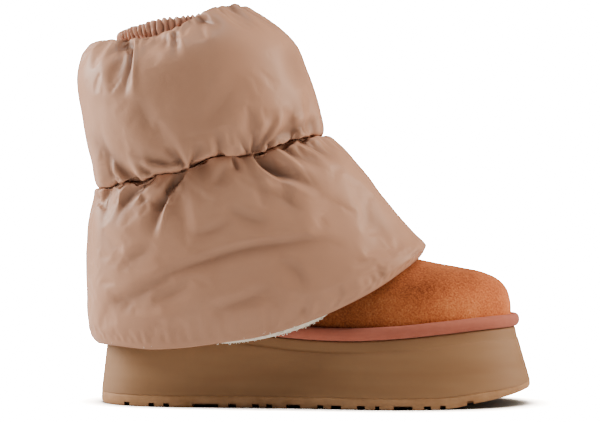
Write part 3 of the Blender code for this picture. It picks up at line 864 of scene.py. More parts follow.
# Main folds at the waist. Columns: angle and half width in degrees, depth share, and reach as a share of
# the height
WAIST_FOLDS = (
    (12, 7, 0.7, 0.30),
    (35, 6, 0.8, 0.35),
    (52, 6, 0.7, 0.40),
    (76, 7, 1.0, 0.55),
    (105, 6, 0.7, 0.30),
    (116, 6, 0.9, 0.45),
    (139, 7, 0.8, 0.40),
    (160, 8, 0.9, 0.35),
    (188, 7, 0.8, 0.35),
    (208, 7, 0.8, 0.40),
    (232, 7, 0.9, 0.45),
    (258, 7, 0.8, 0.35),
    (284, 7, 1.0, 0.45),
    (310, 7, 0.8, 0.40),
    (337, 7, 0.8, 0.35),
)

# Creases of the skirt's outer side, drawn on the boot's side view. Columns: points as millimetres ahead
# of the sole's middle and above the floor, depth and half width in millimetres, which flank is the steep
# one, and whether it fades at its far end only (1) or at both ends (2)
SKIRT_CREASES = (
    (((-86, 152), (-93, 142), (-101, 130), (-108, 106)), 8.0, 2.9, 0.6, 1),
    (((-108, 147), (-119, 138), (-129, 126), (-134, 112)), 4.2, 4.4, 0.3, 1),
    (((-127, 143), (-137, 134), (-144, 122)), 1.8, 4.0, 0.2, 1),
    (((-52.5, 160), (-51.5, 155.5), (-50.5, 150)), 3.6, 2.4, 0.2, 1),
    (((-58, 156), (-61, 149), (-66, 141)), 1.6, 3.4, 0.0, 2),
    (
        ((-38.5, 161.5), (-35, 157), (-29.5, 153), (-22, 149.5), (-12, 146.5), (-2, 142), (7, 136)),
        *(5.2, 4.2, -0.6, 1),
    ),
    (((-24, 169), (-12, 163), (-2, 158), (9, 152)), 4.6, 4.2, -0.3, 1),
    (((-9, 172), (5, 166), (20, 156)), 3.6, 4.0, -0.2, 1),
    (((-39, 139), (-22, 134), (-9, 124)), 1.5, 4.5, 0.4, 2),
    (
        ((-121, 76.5), (-109, 78.5), (-91, 86), (-72, 92.5), (-52, 99), (-22, 103.5), (9, 105), (22, 99)),
        *(2.0, 4.0, 0.4, 2),
    ),
    (((-140, 62), (-121, 69), (-94, 82)), 2.0, 5.0, 0.4, 2),
    (((-112, 62), (-96, 69), (-80, 79)), 1.3, 4.4, 0.3, 2),
    (((-28, 95), (-13, 86), (-6, 72)), 1.1, 4.4, 0.3, 2),
    (((-6, 63), (-8, 58), (-9.5, 53)), 2.4, 1.8, 0.5, 2),
    (((-37.5, 50), (-35, 44.5)), 1.4, 1.8, 0.0, 2),
    (((45, 85), (42, 77)), 2.2, 2.6, 0.2, 2),
    (((63, 94), (66.5, 97.5), (70, 100.5)), 2.6, 1.8, 0.4, 2),
    (((28, 128), (40, 116), (52, 108)), 1.2, 6.0, 0.0, 2),
    (((-60, 128), (-44, 120), (-30, 116)), 1.4, 4.5, 0.3, 2),
    (((-84, 108), (-68, 112), (-54, 119)), 1.3, 4.0, 0.3, 2),
    (((-70, 60), (-48, 66), (-26, 76)), 1.4, 4.5, 0.3, 2),
    (((-132, 88), (-120, 94), (-106, 104)), 1.4, 4.0, 0.3, 2),
)

# Creases of the skirt's inner side, with the same columns
SKIRT_INNER_CREASES = (
    (((-92, 150), (-97, 138), (-108, 122), (-114, 108)), 4.5, 3.2, 0.5, 1),
    (((-118, 146), (-127, 136), (-136, 122)), 2.8, 3.2, -0.3, 1),
    (((-66, 158), (-66, 148), (-72, 136)), 2.2, 2.4, 0.3, 1),
    (((-45, 161), (-38, 152), (-24, 146), (-6, 141)), 3.4, 2.5, 0.5, 1),
    (((-20, 168), (-6, 160), (8, 148)), 2.2, 2.8, 0.3, 1),
    (((-112, 80), (-84, 88), (-52, 96), (-20, 98)), 1.1, 4.5, 0.3, 2),
    (((-36, 88), (-18, 80), (0, 82)), 1.0, 3.5, 0.0, 2),
    (((-14, 60), (-12, 52)), 1.4, 1.5, 0.4, 2),
    (((40, 90), (36, 78)), 1.2, 2.2, 0.2, 2),
)

# How a crease is shaped, as shares of its half width: its width at the seam and how much it widens from
# there, how its gentle and steep flanks differ, and the lips beside it, as shares of its depth
CREASE_START = 0.5
CREASE_OPENING = 0.8
CREASE_TURN = 0.3
GENTLE_FLANK = 0.8
STEEP_FLANK = 0.5
LIP_PLACE = 1.9
LIP_SPREAD = 0.8
LIP_SWELL = 0.12
STEEP_LIP_SWELL = 0.22

# Between which bounds each gather varies: its place in its share of the seam, half width in degrees,
# depth share, reach share, and lean in degrees
GATHER_PLACE = (0.1, 0.9)
GATHER_HALF = (0.9, 2.0)
GATHER_SHARE = (0.35, 1.0)
GATHER_FAR = (0.5, 1.7)
GATHER_LEAN = (-2.5, 2.5)

# Gathers at the skirt's seam, which the wadding holds out, and fine ones on top of all. Columns: seed,
# count, depth and reach in millimetres, width
SKIRT_SWELLS = ((17, 26, 3.0, 22, 1.7),)
SKIRT_GATHERS = (
    (11, 74, 1.5, 9, 1.0),
    (13, 120, 1.1, 5, 0.6),
)


def waist_ring(grow, height):
    """The seam that gathers both chambers to the suede."""
    return ankle_ring(COVER_SIDES, GAP + WAIST_WALL + grow, height)


def wrapped(degrees):
    """Angles brought between -180 and 180."""
    return (degrees + 180) % 360 - 180


def folded(ring, folds, depth, away):
    """Draws a ring in towards its middle at each fold."""
    degrees = np.degrees(angles(len(ring)))
    drawn = np.zeros(len(ring))
    for angle, half_width, share, reach in folds:
        off = wrapped(degrees - angle)
        drawn += share * np.exp(-((off / half_width) ** 2)) * np.exp(-((away / (FOLD_REACH * reach)) ** 2))
    spoke = ring - ring.mean(axis=0)
    spoke[:, 2] = 0
    length = np.linalg.norm(spoke, axis=1, keepdims=True)
    return ring - spoke / length * (depth * drawn)[:, None]


def skirt_rings():
    """The skirt chamber's outer face, from the waist seam down to the hem."""
    phi = angles(COVER_SIDES)
    seam = leaning(waist_ring(0.0, -GAP))
    back_x, back_z = seam[:, 0].min(), seam[seam[:, 0].argmin(), 2]
    front_x, front_z = seam[:, 0].max(), seam[seam[:, 0].argmax(), 2]
    rear = -SOLE_LENGTH / 2 - SKIRT_OVERHANG
    tip = SOLE_LENGTH * (SKIRT_STATION - 0.5)
    seam_side = ANKLE_WIDTH / 2 + GAP + WAIST_WALL
    rings = [seam]
    for back_out, back_down, front_out, front_down, wide, hem, _ in SKIRT_RINGS:
        exponent = lerp(OVAL_POWER, HEM_POWER, hem)
        along = (1 - power(np.cos(phi), exponent)) / 2
        x = lerp(lerp(back_x, rear, back_out), lerp(front_x, tip, front_out), along)
        swing = hem * SKIRT_SWING * smooth_step(SKIRT_SWING_START, SKIRT_SWING_END, station(x))
        y = swing - power(np.sin(phi), exponent) * lerp(seam_side, SKIRT_WIDTH / 2, wide)
        line = lerp(along, table_value(HEM_LINE, 1, (x - rear) / (tip - rear)), hem)
        low = lerp(back_z, HEM_HEIGHT, back_down)
        high = lerp(front_z, HEM_HEIGHT + HEM_LIFT, front_down)
        ring = np.column_stack([x, y, lerp(low, high, line)])
        rings.append(folded(ring, WAIST_FOLDS, SKIRT_GATHER, back_down))
    return rings


def side_view(points):
    """Where points show on the boot's middle plane, in millimetres, seen from the photograph's eye."""
    reach = EYE_BACK / (points[..., 1] + EYE_BACK)
    ahead = EYE_SIDE + (points[..., 0] - EYE_SIDE) * reach
    above = EYE_HEIGHT + (points[..., 2] - EYE_HEIGHT) * reach
    return np.stack([ahead, above], -1) / MM


def smooth_line(points, count=24):
    """A drawn line's points, closer together and on a smooth curve."""
    points = np.array(points, float)
    at = np.concatenate([[0], np.cumsum(np.linalg.norm(np.diff(points, axis=0), axis=1))])
    rows = np.column_stack([at, points])
    wanted = np.linspace(0, at[-1], count)
    return np.column_stack([table_value(rows, 1, wanted), table_value(rows, 2, wanted)])


def distance_from(grid):
    """How far each point of a grid lies from its first ring, along the surface."""
    steps = np.linalg.norm(np.diff(grid, axis=0), axis=2)
    return np.vstack([np.zeros(grid.shape[1]), np.cumsum(steps, axis=0)])


def from_line(seen, line):
    """For each point, how far it is from a drawn line, on which side, and at what share of its length."""
    start = line[:-1]
    step = np.diff(line, axis=0)
    length = np.linalg.norm(step, axis=1)
    away = seen[:, None, :] - start[None, :, :]
    share = np.clip((away * step).sum(2) / length**2, 0, 1)
    apart = away - share[..., None] * step
    distance = np.linalg.norm(apart, axis=2)
    nearest = distance.argmin(1)
    row = np.arange(len(seen))
    tangent = step[nearest] / length[nearest][:, None]
    across = tangent[:, 0] * apart[row, nearest, 1] - tangent[:, 1] * apart[row, nearest, 0]
    return distance.min(1), across, (nearest + share[row, nearest]) / len(step)


def creased(grid, creases, side):
    """How far each point of a grid is drawn in by the creases of one side of the boot, in metres."""
    seen = side_view(grid).reshape(-1, 2)
    facing = smooth_step(0.0, SIDE_BLEND, side * grid[..., 1].ravel())
    drawn = np.zeros(len(seen))
    for points, depth, width, steep, fade in creases:
        distance, across, share = from_line(seen, smooth_line(points))
        turn = np.clip(across / (CREASE_TURN * width), -1, 1)
        sharp = np.clip(turn * steep, 0, 1)
        gentle = np.clip(-turn * steep, 0, 1)
        opened = CREASE_START + CREASE_OPENING * share if fade == 1 else 1.0
        half = width * opened * (1 + GENTLE_FLANK * gentle - STEEP_FLANK * sharp)
        off = distance / half
        strength = (1 - share**2) ** 1.3 if fade == 1 else 4 * share * (1 - share)
        swell = LIP_SWELL + STEEP_LIP_SWELL * sharp
        lip = swell * np.exp(-(((off - LIP_PLACE) / LIP_SPREAD) ** 2))
        drawn += depth * MM * strength * (np.exp(-(off**1.6)) - lip)
    return (drawn * facing).reshape(grid.shape[:2])


def gathered(grid, seed, count, depth, reach, wide):
    """How far the small gathers of a seam along the grid's first ring draw its points in, in metres."""
    chance = np.random.default_rng(seed)
    degrees = np.degrees(angles(grid.shape[1]))
    away = distance_from(grid)
    drawn = np.zeros(grid.shape[:2])
    for k in range(count):
        angle = (k + chance.uniform(*GATHER_PLACE)) * 360 / count
        half = wide * chance.uniform(*GATHER_HALF)
        share = chance.uniform(*GATHER_SHARE)
        far = reach * chance.uniform(*GATHER_FAR)
        lean = chance.uniform(*GATHER_LEAN)
        off = wrapped(degrees - angle - lean * away / reach)
        near = smooth_step(0.5 * MM, 4 * MM, away)
        drawn += share * np.exp(-((off / half) ** 2)) * np.exp(-((away / far) ** 2)) * near
    return depth * drawn


def seated(face, side):
    """Lays a chamber's first rings against the seam's plane, where the other chamber presses on it, and
    lets the seam wander up and down as the gathers pull it. side is 1 above the seam and -1 below."""
    away = distance_from(face)
    height = side * ((face - waist_middle) @ shaft_axis)
    risen = height * smooth_step(PRESS_START, PRESS_REACH, away)
    pressed = np.maximum(risen, np.minimum(height, SEAM_HALF))
    seam_x = side_view(face[:1])[0, :, 0]
    wave = np.array(SEAM_WAVE)
    outer = np.interp(seam_x, wave[:, 0], wave[:, 1])
    inner = -1.5 + 1.6 * np.sin(seam_x / 7.0) * np.sin(seam_x / 19.0)
    drop = lerp(outer, inner, smooth_step(-SIDE_BLEND, SIDE_BLEND, face[0, :, 1])) * MM
    shift = side * (pressed - height) + drop * np.exp(-((away / WAVE_REACH) ** 2))
    return face + shift[..., None] * shaft_axis


def drawn_in(face, drawn, out):
    """Moves a face's points in by drawn. Next to the seam they move level, so that it stays closed."""
    level = np.exp(-((distance_from(face) / LEVEL_REACH) ** 2))[..., None]
    way = out - shaft_axis * (out @ shaft_axis)[..., None] * level
    way /= np.linalg.norm(way, axis=2, keepdims=True)
    return face - way * drawn[..., None]


def held_out(drawn, face, slope, most):
    """Folds as deep as the wadding under them allows: shallow at the lip beside the seam, where the
    chamber is thin, and gone at its other end."""
    from_seam = distance_from(face)
    limit = np.minimum(LIP_FOLD + slope * from_seam, most)
    return limit * np.tanh(drawn / limit) * smooth_step(RIM_START, RIM_END, from_seam[-1] - from_seam)


def curve_through(values, at):
    """Values between those of a list, on smooth curves. at counts along the list."""
    k = np.clip(np.floor(at).astype(int), 0, len(values) - 2)
    t = (at - k)[:, None, None]
    before = values[np.maximum(k - 1, 0)]
    start = values[k]
    end = values[k + 1]
    after = values[np.minimum(k + 2, len(values) - 1)]
    bend = (2 * before - 5 * start + 4 * end - after) * t**2 + (3 * start - before - 3 * end + after) * t**3
    return start + 0.5 * ((end - before) * t + bend)


def blown(face, end_share):
    """Runs a chamber's nylon as cloth and gives how far it moves. It is cut wider than its shape, held at
    its seams and blown out by the wadding, so it buckles into soft folds. end_share is the slack at its
    last ring, as a share of that at its first."""
    rows = np.linspace(0, len(face) - 1, int(len(face) / CLOTH_STEP)).round().astype(int)
    coarse = face[rows][:, ::CLOTH_STEP]
    count, sides = coarse.shape[:2]
    number = np.arange(count * sides).reshape(count, sides)
    quads = ring_faces(number[:-1], number[1:])
    waist = coarse[count // 2]
    if np.einsum("ij,ij->", surface_normals(coarse)[count // 2], waist - waist.mean(0)) < 0:
        quads = quads[:, ::-1]
    mesh = bpy.data.meshes.new("blown_nylon")
    mesh.from_pydata(coarse.reshape(-1, 3).tolist(), [], quads.tolist())
    sheet = placed("blown_nylon", mesh)
    held = sheet.vertex_groups.new(name="held")
    for ring, weight in enumerate(CLOTH_HELD):
        held.add(number[ring].tolist(), weight, "REPLACE")
        held.add(number[-1 - ring].tolist(), weight, "REPLACE")
    loose = sheet.vertex_groups.new(name="loose")
    from_start = distance_from(coarse)
    to_end = from_start[-1] - from_start
    slack = np.exp(-((from_start / GATHER_REACH) ** 2))
    slack = slack + end_share * np.exp(-((to_end / GATHER_REACH) ** 2))
    turn = angles(sides)
    uneven = 0.65 + 0.2 * np.sin(5 * turn + 1.0) + 0.15 * np.sin(11 * turn + 2.0)
    for vertex, weight in enumerate((slack * uneven).ravel().tolist()):
        loose.add([vertex], weight, "REPLACE")
    modifier = sheet.modifiers.new("blow", "CLOTH")
    modifier.point_cache.frame_start = 1
    modifier.point_cache.frame_end = CLOTH_FRAMES
    for setting, value in CLOTH_SETTINGS.items():
        setattr(modifier.settings, setting, value)
    modifier.settings.vertex_group_shrink = "loose"
    modifier.settings.shrink_min = -MIDDLE_GROWTH
    modifier.settings.shrink_max = -SEAM_GROWTH
    modifier.settings.use_pressure = True
    modifier.settings.uniform_pressure_force = PRESSURE
    modifier.settings.vertex_group_mass = "held"
    modifier.settings.effector_weights.gravity = 0.0
    modifier.collision_settings.use_collision = False
    for frame_number in range(1, CLOTH_FRAMES + 1):
        bpy.context.scene.frame_set(frame_number)
    settled = sheet.evaluated_get(bpy.context.evaluated_depsgraph_get()).data
    moved = np.empty(len(settled.vertices) * 3)
    settled.vertices.foreach_get("co", moved)
    bpy.data.objects.remove(sheet)
    bpy.data.meshes.remove(mesh)
    bpy.context.scene.frame_set(1)
    moved = moved.reshape(coarse.shape) - coarse
    length = np.linalg.norm(moved, axis=2, keepdims=True)
    moved *= CLOTH_CAP * np.tanh(length / CLOTH_CAP) / np.maximum(length, 1e-9)
    down = curve_through(moved, np.interp(np.arange(len(face)), rows, np.arange(count)))
    wrapped = np.concatenate([down[:, -2:], down, down[:, :3]], axis=1).swapaxes(0, 1)
    spread = curve_through(wrapped, 2 + np.arange(face.shape[1]) / CLOTH_STEP).swapaxes(0, 1)
    return spread * smooth_step(SEAM_HELD, CLOTH_FREE, distance_from(face))[..., None]


def nylon(name, low, high, gloss):
    """Woven nylon with a soft satin gloss, a very fine plain weave and painted shade down in its folds."""
    material, tree, shader = shader_of(name, {"Roughness": gloss, "Specular IOR Level": 0.2})
    mottled(tree, shader, 14.0, ((0.30, low), (0.70, high)), detail=3.0)
    weave = {"Vector": place(tree, "UV"), "Scale": 620.0, "Distortion": 0.3}
    warp = add(tree, "ShaderNodeTexWave", weave, bands_direction="X").outputs["Fac"]
    weft = add(tree, "ShaderNodeTexWave", weave, bands_direction="Y").outputs["Fac"]
    bumped(tree, shader, calc(tree, "ADD", warp, weft), 0.02 * MM, 0.35)
    # Painted shade: the colour is darkened where a point lies deep in a fold.
    fold = add(tree, "ShaderNodeAttribute", attribute_name="fold").outputs["Fac"]
    shade = add(tree, "ShaderNodeMapRange", {"Value": fold, "To Min": 1.0, "To Max": FOLD_SHADE})
    toned = {0: shader.inputs["Base Color"].links[0].from_socket, "Scale": shade}
    feed(tree, shader, {"Base Color": add(tree, "ShaderNodeVectorMath", toned, operation="SCALE")})
    return material


def cover_mesh(name, face, inside, drawn):
    """A chamber's closed mesh from its outer face and its inside, both given from the seam. It stores how
    deep each point lies in a fold, as a mask of painted shade for the nylon's colour."""
    piece = ring_mesh(name, np.concatenate([face, inside[::-1]]))
    fold = np.zeros(len(piece.data.vertices), np.float32)
    fold[: drawn.size] = np.clip(drawn / DEEP_FOLD, 0, 1).ravel()
    write_values(piece, "fold", fold)
    return piece


skirt_control = skirt_rings()
skirt_face = seated(refine(skirt_control, COVER_SPACING), -1)
skirt_face = skirt_face + blown(skirt_face, HEM_SLACK)
skirt_drawn = creased(skirt_face, SKIRT_CREASES, -1) + creased(skirt_face, SKIRT_INNER_CREASES, 1)
for seed, count, depth, reach, wide in SKIRT_SWELLS:
    skirt_drawn += gathered(skirt_face, seed, count, depth * MM, reach * MM, wide)
skirt_drawn = held_out(skirt_drawn, skirt_face, SKIRT_FOLD_SLOPE, SKIRT_FOLD_MOST)
for seed, count, depth, reach, wide in SKIRT_GATHERS:
    skirt_drawn += gathered(skirt_face, seed, count, depth * MM, reach * MM, wide)
skirt_face = drawn_in(skirt_face, skirt_drawn, -surface_normals(skirt_face))

skirt_control = np.array(skirt_control)
skirt_control_out = -surface_normals(skirt_control)
skirt_inside = []
lining_outside = []
lining_inside = []
for k in range(2, len(SKIRT_RINGS)):
    pad = SKIRT_PAD * SKIRT_RINGS[k - 1][6]
    cover = max(pad * COVER_SHARE, pad - LINING_ROOM)
    room = max(pad, cover + LINING_THICKNESS)
    skirt_inside.append(skirt_control[k] - skirt_control_out[k] * cover)
    lining_outside.append(skirt_control[k] - skirt_control_out[k] * (cover + GAP))
    lining_inside.append(skirt_control[k] - skirt_control_out[k] * room)
skirt_inside.insert(0, leaning(ankle_ring(COVER_SIDES, GAP, -GAP)))
skirt = cover_mesh("skirt_chamber", skirt_face, refine(skirt_inside, INSIDE_SPACING), skirt_drawn)
skirt_nylon = nylon("skirt_nylon", linear(176, 130, 104), linear(186, 140, 114), 0.44)
skirt.data.materials.append(skirt_nylon)
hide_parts("skirt_puffer")
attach(skirt, "root")


# Skirt lining: cream fleece sewn inside the skirt. Its cut edge shows below the hem in the middle of
# the outer side, where the hem starts to climb.
PEEK = 2.4 * MM
PEEK_LINE = ((-160, -0.5), (-70, -0.5), (-58, 0.35), (-30, 0.8), (-10, 1.0), (2, 0.7), (14, -0.5), (90, -0.5))
SKIRT_TUFTS = 42000.0
EDGE_INSET = 0.6 * MM
EDGE_THICKNESS = 1.8 * MM
LINING_SPACING = 2.2 * MM
EDGE_WOOL = 5.0
TURNED_WOOL = 3.0
HIDDEN_WOOL = 0.5

hem_ring = skirt_control[-1]
hem_spoke = outward(hem_ring[:, :2])
hem_seen = side_view(hem_ring)[:, 0]
peek_rows = np.array(PEEK_LINE)
hem_drop = np.interp(hem_seen, peek_rows[:, 0], peek_rows[:, 1]) * PEEK
edge_outside = hem_ring.copy()
edge_outside[:, :2] -= hem_spoke * EDGE_INSET
edge_outside[:, 2] -= hem_drop
edge_inside = edge_outside.copy()
edge_inside[:, :2] -= hem_spoke * EDGE_THICKNESS
lining_outer = refine([edge_outside] + lining_outside[::-1], LINING_SPACING)
lining_inner = refine([edge_inside] + lining_inside[::-1], LINING_SPACING)
skirt_lining = ring_mesh("skirt_lining", np.concatenate([lining_outer, lining_inner[::-1]])[:, ::2])
lining_share = np.zeros((len(lining_outer) + len(lining_inner), COVER_SIDES // 2))
lining_share[:2] = EDGE_WOOL
lining_share[-3:] = TURNED_WOOL
lining_share[len(lining_outer) : -3] = HIDDEN_WOOL
plant_wool(skirt_lining, lining_share, SKIRT_TUFTS, 5)
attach(skirt_lining, "root")


# Shaft: the upper chamber, the same nylon over wadding, gathered at the waist and again under the
# elastic collar. It leans back, and bulges over both seams.
SHAFT_LENGTH = 152 * MM
SHAFT_WIDTH = 136 * MM
SHAFT_HEIGHT = 95 * MM
SHAFT_GATHER = 5 * MM
SHOULDER_DIP = 4 * MM
NECK_DROP = 9 * MM
NECK_TILT = math.radians(3)
COLLAR_LENGTH = 84 * MM
COLLAR_WIDTH = 74 * MM
COLLAR_WALL = 2.4 * MM
DIP_START = 0.6
RISE_START = 0.55
RISE_END = 0.97
SHAFT_FOLD_SLOPE = 0.34
SHAFT_FOLD_MOST = 9 * MM
TOP_SLACK = 0.8

# Columns: height as a share, reach at the back, at the front and at the sides
SHAFT_RINGS = (
    (0.010, 0.960, 0.970, 0.930),
    (0.060, 1.010, 1.020, 0.985),
    (0.180, 1.005, 1.020, 1.000),
    (0.340, 1.000, 0.998, 1.000),
    (0.500, 0.985, 0.968, 0.985),
    (0.640, 0.980, 0.937, 0.965),
    (0.760, 0.960, 0.850, 0.925),
    (0.860, 0.915, 0.740, 0.850),
    (0.930, 0.860, 0.655, 0.745),
    (0.970, 0.750, 0.605, 0.650),
)

# Columns: height share, share of the way from the ankle's oval in to the collar's
SHAFT_LINING = (
    (0.780, 0.80),
    (0.550, 0.50),
    (0.300, 0.18),
    (0.080, 0.00),
)

# How much higher the top swells than its rings say. Columns: angle, rise in millimetres
TOP_RISE = (
    (0, 0.0),
    (45, -1.0),
    (62, -2.5),
    (78, -3.0),
    (88, -1.0),
    (96, 0.5),
    (106, 3.0),
    (121, 5.5),
    (140, 5.0),
    (160, 3.0),
    (180, 1.0),
    (220, 1.5),
    (280, 2.0),
    (360, 0.0),
)

# Main folds under the collar, with the columns of the waist's
COLLAR_FOLDS = (
    (20, 8, 0.7, 0.30),
    (40, 6, 0.8, 0.25),
    (56, 6, 1.0, 0.50),
    (80, 6, 0.9, 0.35),
    (105, 7, 0.8, 0.25),
    (135, 8, 0.7, 0.30),
    (165, 8, 0.8, 0.30),
    (195, 8, 0.8, 0.35),
    (225, 8, 0.9, 0.35),
    (255, 7, 0.8, 0.30),
    (285, 8, 0.9, 0.35),
    (315, 8, 0.8, 0.30),
    (342, 8, 0.8, 0.30),
)

# Creases of the shaft's outer and inner side, with the columns of the skirt's
SHAFT_CREASES = (
    (((-121, 240), (-123, 228), (-125, 214), (-126.5, 197)), 8.0, 4.0, 0.6, 1),
    (((-124, 237), (-130, 232), (-137, 228), (-143, 226)), 2.8, 4.4, 0.4, 1),
    (((-99.5, 247), (-100, 238), (-100.5, 229)), 5.4, 3.6, 0.4, 1),
    (((-93, 248), (-92.5, 236), (-91, 223)), 3.8, 3.8, 0.3, 1),
    (((-78, 254), (-70, 250), (-60, 246)), 4.2, 3.2, 0.3, 1),
    (((-88, 155), (-93, 161), (-100, 169)), 4.6, 3.6, 0.3, 1),
    (((-81, 156), (-78, 163), (-75.5, 172)), 3.8, 3.4, 0.3, 1),
    (((-93, 156), (-104, 158), (-117, 161), (-129, 167)), 3.0, 3.8, 0.4, 1),
    (((-119, 144), (-127, 151), (-137, 161), (-145, 172), (-150, 182)), 5.0, 5.0, 0.3, 1),
    (((-110, 150), (-118, 155), (-126, 162)), 3.2, 3.8, 0.2, 1),
    (((-131, 145), (-136, 149), (-142, 155)), 3.0, 3.6, 0.2, 1),
    (((-40, 164), (-39.5, 170), (-38, 178)), 4.4, 2.8, 0.4, 1),
    (((-37, 166), (-32, 173), (-28, 181), (-27, 192)), 3.6, 3.8, 0.2, 1),
    (((-44, 164), (-48, 170), (-53, 176)), 2.6, 3.4, 0.2, 1),
    (((-30, 168), (-20, 177), (-14, 187), (-12, 199)), 4.0, 4.2, 0.3, 1),
    (((-22, 173), (-12, 178), (-5, 182), (3, 185)), 3.2, 3.4, 0.4, 2),
    (((-7, 179), (-3, 178)), 1.6, 2.2, 0.0, 2),
    (((-62, 160), (-63, 169), (-67, 179)), 3.2, 3.6, 0.0, 1),
    (((-118, 200), (-112, 186), (-104, 174)), 1.5, 6.0, 0.2, 2),
    (((-75, 178), (-60, 196), (-48, 214)), 1.0, 7.0, 0.3, 2),
    (((-18, 236), (-12, 222), (-8, 206)), 1.6, 6.0, 0.2, 2),
)

# Creases of the shaft's inner side, with the same columns
SHAFT_INNER_CREASES = (
    (((-116, 238), (-119, 226), (-121, 212)), 4.2, 2.6, 0.5, 1),
    (((-88, 246), (-88, 236), (-85, 226)), 2.6, 2.2, 0.2, 1),
    (((-58, 252), (-50, 244), (-44, 232)), 3.0, 2.6, 0.3, 1),
    (((-30, 250), (-22, 240), (-12, 226)), 2.4, 2.8, 0.2, 1),
    (((-124, 146), (-130, 156), (-138, 168)), 2.6, 3.0, 0.2, 1),
    (((-96, 152), (-98, 162), (-104, 172)), 2.4, 2.6, 0.3, 1),
    (((-66, 160), (-66, 170), (-70, 180)), 2.2, 2.6, 0.0, 1),
    (((-40, 164), (-34, 176), (-30, 188)), 2.8, 2.8, 0.3, 1),
    (((-20, 170), (-8, 180), (2, 190)), 3.0, 2.8, 0.3, 1),
)

# Gathers of the shaft, with the columns of the skirt's, then which seam they start at: 1 the waist, -1 the
# collar's
SHAFT_SWELLS = (
    (29, 26, 2.8, 18, 1.6, 1),
    (37, 24, 2.6, 20, 1.6, -1),
)
SHAFT_GATHERS = (
    (23, 74, 1.5, 9, 1.0, 1),
    (19, 120, 1.2, 5, 0.6, 1),
    (31, 62, 1.6, 10, 1.0, -1),
)


def shaft_rings():
    """The shaft chamber's outer face in the shaft's own frame, from the waist seam up to the collar."""
    rings = [waist_ring(0.0, GAP)]
    rise = table_value(TOP_RISE, 1, np.degrees(angles(COVER_SIDES))) * MM
    for height, back, front, side in SHAFT_RINGS:
        half = SHAFT_LENGTH / 2
        dip = SHOULDER_DIP * np.sin(angles(COVER_SIDES)) ** 2 * smooth_step(DIP_START, 1.0, height)
        level = SHAFT_HEIGHT * height - dip + rise * smooth_step(RISE_START, RISE_END, height)
        ring = oval(COVER_SIDES, half * back, half * front, SHAFT_WIDTH / 2 * side, level)
        ring = folded(ring, WAIST_FOLDS, SHAFT_GATHER, height)
        rings.append(folded(ring, COLLAR_FOLDS, SHAFT_GATHER, 1 - height))
    return rings


def neck_ring(count, inset, height):
    """A ring round the top opening, tilted up to the front."""
    half = COLLAR_LENGTH / 2 - inset
    ring = oval(count, half, half, COLLAR_WIDTH / 2 - inset, 0.0)
    ring[:, 2] = height + ring[:, 0] * math.tan(NECK_TILT)
    return ring


shaft_control = shaft_rings()
shaft_control.append(neck_ring(COVER_SIDES, -GAP - COLLAR_WALL, SHAFT_HEIGHT - NECK_DROP))
shaft_face = seated(refine([leaning(ring) for ring in shaft_control], COVER_SPACING), 1)
shaft_face = shaft_face + blown(shaft_face, TOP_SLACK)
shaft_drawn = creased(shaft_face, SHAFT_CREASES, -1) + creased(shaft_face, SHAFT_INNER_CREASES, 1)
for seed, count, depth, reach, wide, way in SHAFT_SWELLS:
    shaft_drawn += gathered(shaft_face[::way], seed, count, depth * MM, reach * MM, wide)[::way]
shaft_drawn = held_out(shaft_drawn, shaft_face, SHAFT_FOLD_SLOPE, SHAFT_FOLD_MOST)
for seed, count, depth, reach, wide, way in SHAFT_GATHERS:
    shaft_drawn += gathered(shaft_face[::way], seed, count, depth * MM, reach * MM, wide)[::way]
shaft_face = drawn_in(shaft_face, shaft_drawn, surface_normals(shaft_face))


def shaft_inner_rings(grow):
    """The shaft's inside from the waist up, between the ankle's oval and the collar's."""
    rings = []
    for height, share in SHAFT_LINING[::-1]:
        half = lerp(ANKLE_LENGTH / 2, COLLAR_LENGTH / 2, share) + GAP + grow
        side = lerp(ANKLE_WIDTH / 2, COLLAR_WIDTH / 2, share) + GAP + grow
        rings.append(leaning(oval(COVER_SIDES, half, half, side, SHAFT_HEIGHT * height)))
    return rings


shaft_inside = [leaning(ankle_ring(COVER_SIDES, GAP, GAP))]
shaft_inside += shaft_inner_rings(LINING_ROOM)
shaft_inside.append(leaning(neck_ring(COVER_SIDES, -GAP, SHAFT_HEIGHT - NECK_DROP - COLLAR_WALL)))
shaft = cover_mesh("shaft_chamber", shaft_face, refine(shaft_inside, INSIDE_SPACING), shaft_drawn)
shaft_nylon = nylon("shaft_nylon", linear(176, 130, 104), linear(186, 140, 114), 0.44)
shaft.data.materials.append(shaft_nylon)
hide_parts("shaft_puffer")
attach(shaft, "root")


# Shaft lining: the same cream fleece as the skirt's, sewn in from the collar down to the suede's rim. It
# covers the inside of the leg.
SHAFT_TUFTS = 30000.0
SHAFT_LINING_SPACING = 3 * MM

shaft_lining_outer = refine(shaft_inner_rings(LINING_ROOM - GAP), SHAFT_LINING_SPACING)
shaft_lining_inner = refine(shaft_inner_rings(0.0), SHAFT_LINING_SPACING)
shaft_lining_rows = np.concatenate([shaft_lining_outer, shaft_lining_inner[::-1]])
shaft_lining = ring_mesh("shaft_lining", shaft_lining_rows[:, ::4])
shaft_share = np.zeros((len(shaft_lining_outer) + len(shaft_lining_inner), COVER_SIDES // 4))
shaft_share[len(shaft_lining_outer) :] = 1.0
plant_wool(shaft_lining, shaft_share, SHAFT_TUFTS, 7)
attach(shaft_lining, "root")


# Collar: a nylon casing ruched by the elastic inside it, sewn into the top of the shaft. Nodes raise
# its pleats, which vary in depth and lean, and store painted shade for their valleys.
COLLAR_HEIGHT = 13 * MM
COLLAR_SIDES = 900
COLLAR_PLEATS = 72
PLEAT_DEPTH = 2.4 * MM
COLLAR_DIP = 4 * MM
DIP_BACK = 0.35
DIP_FRONT = 0.75
COLLAR_SPACING = 1 * MM
COLLAR_LEVELS = 0.6

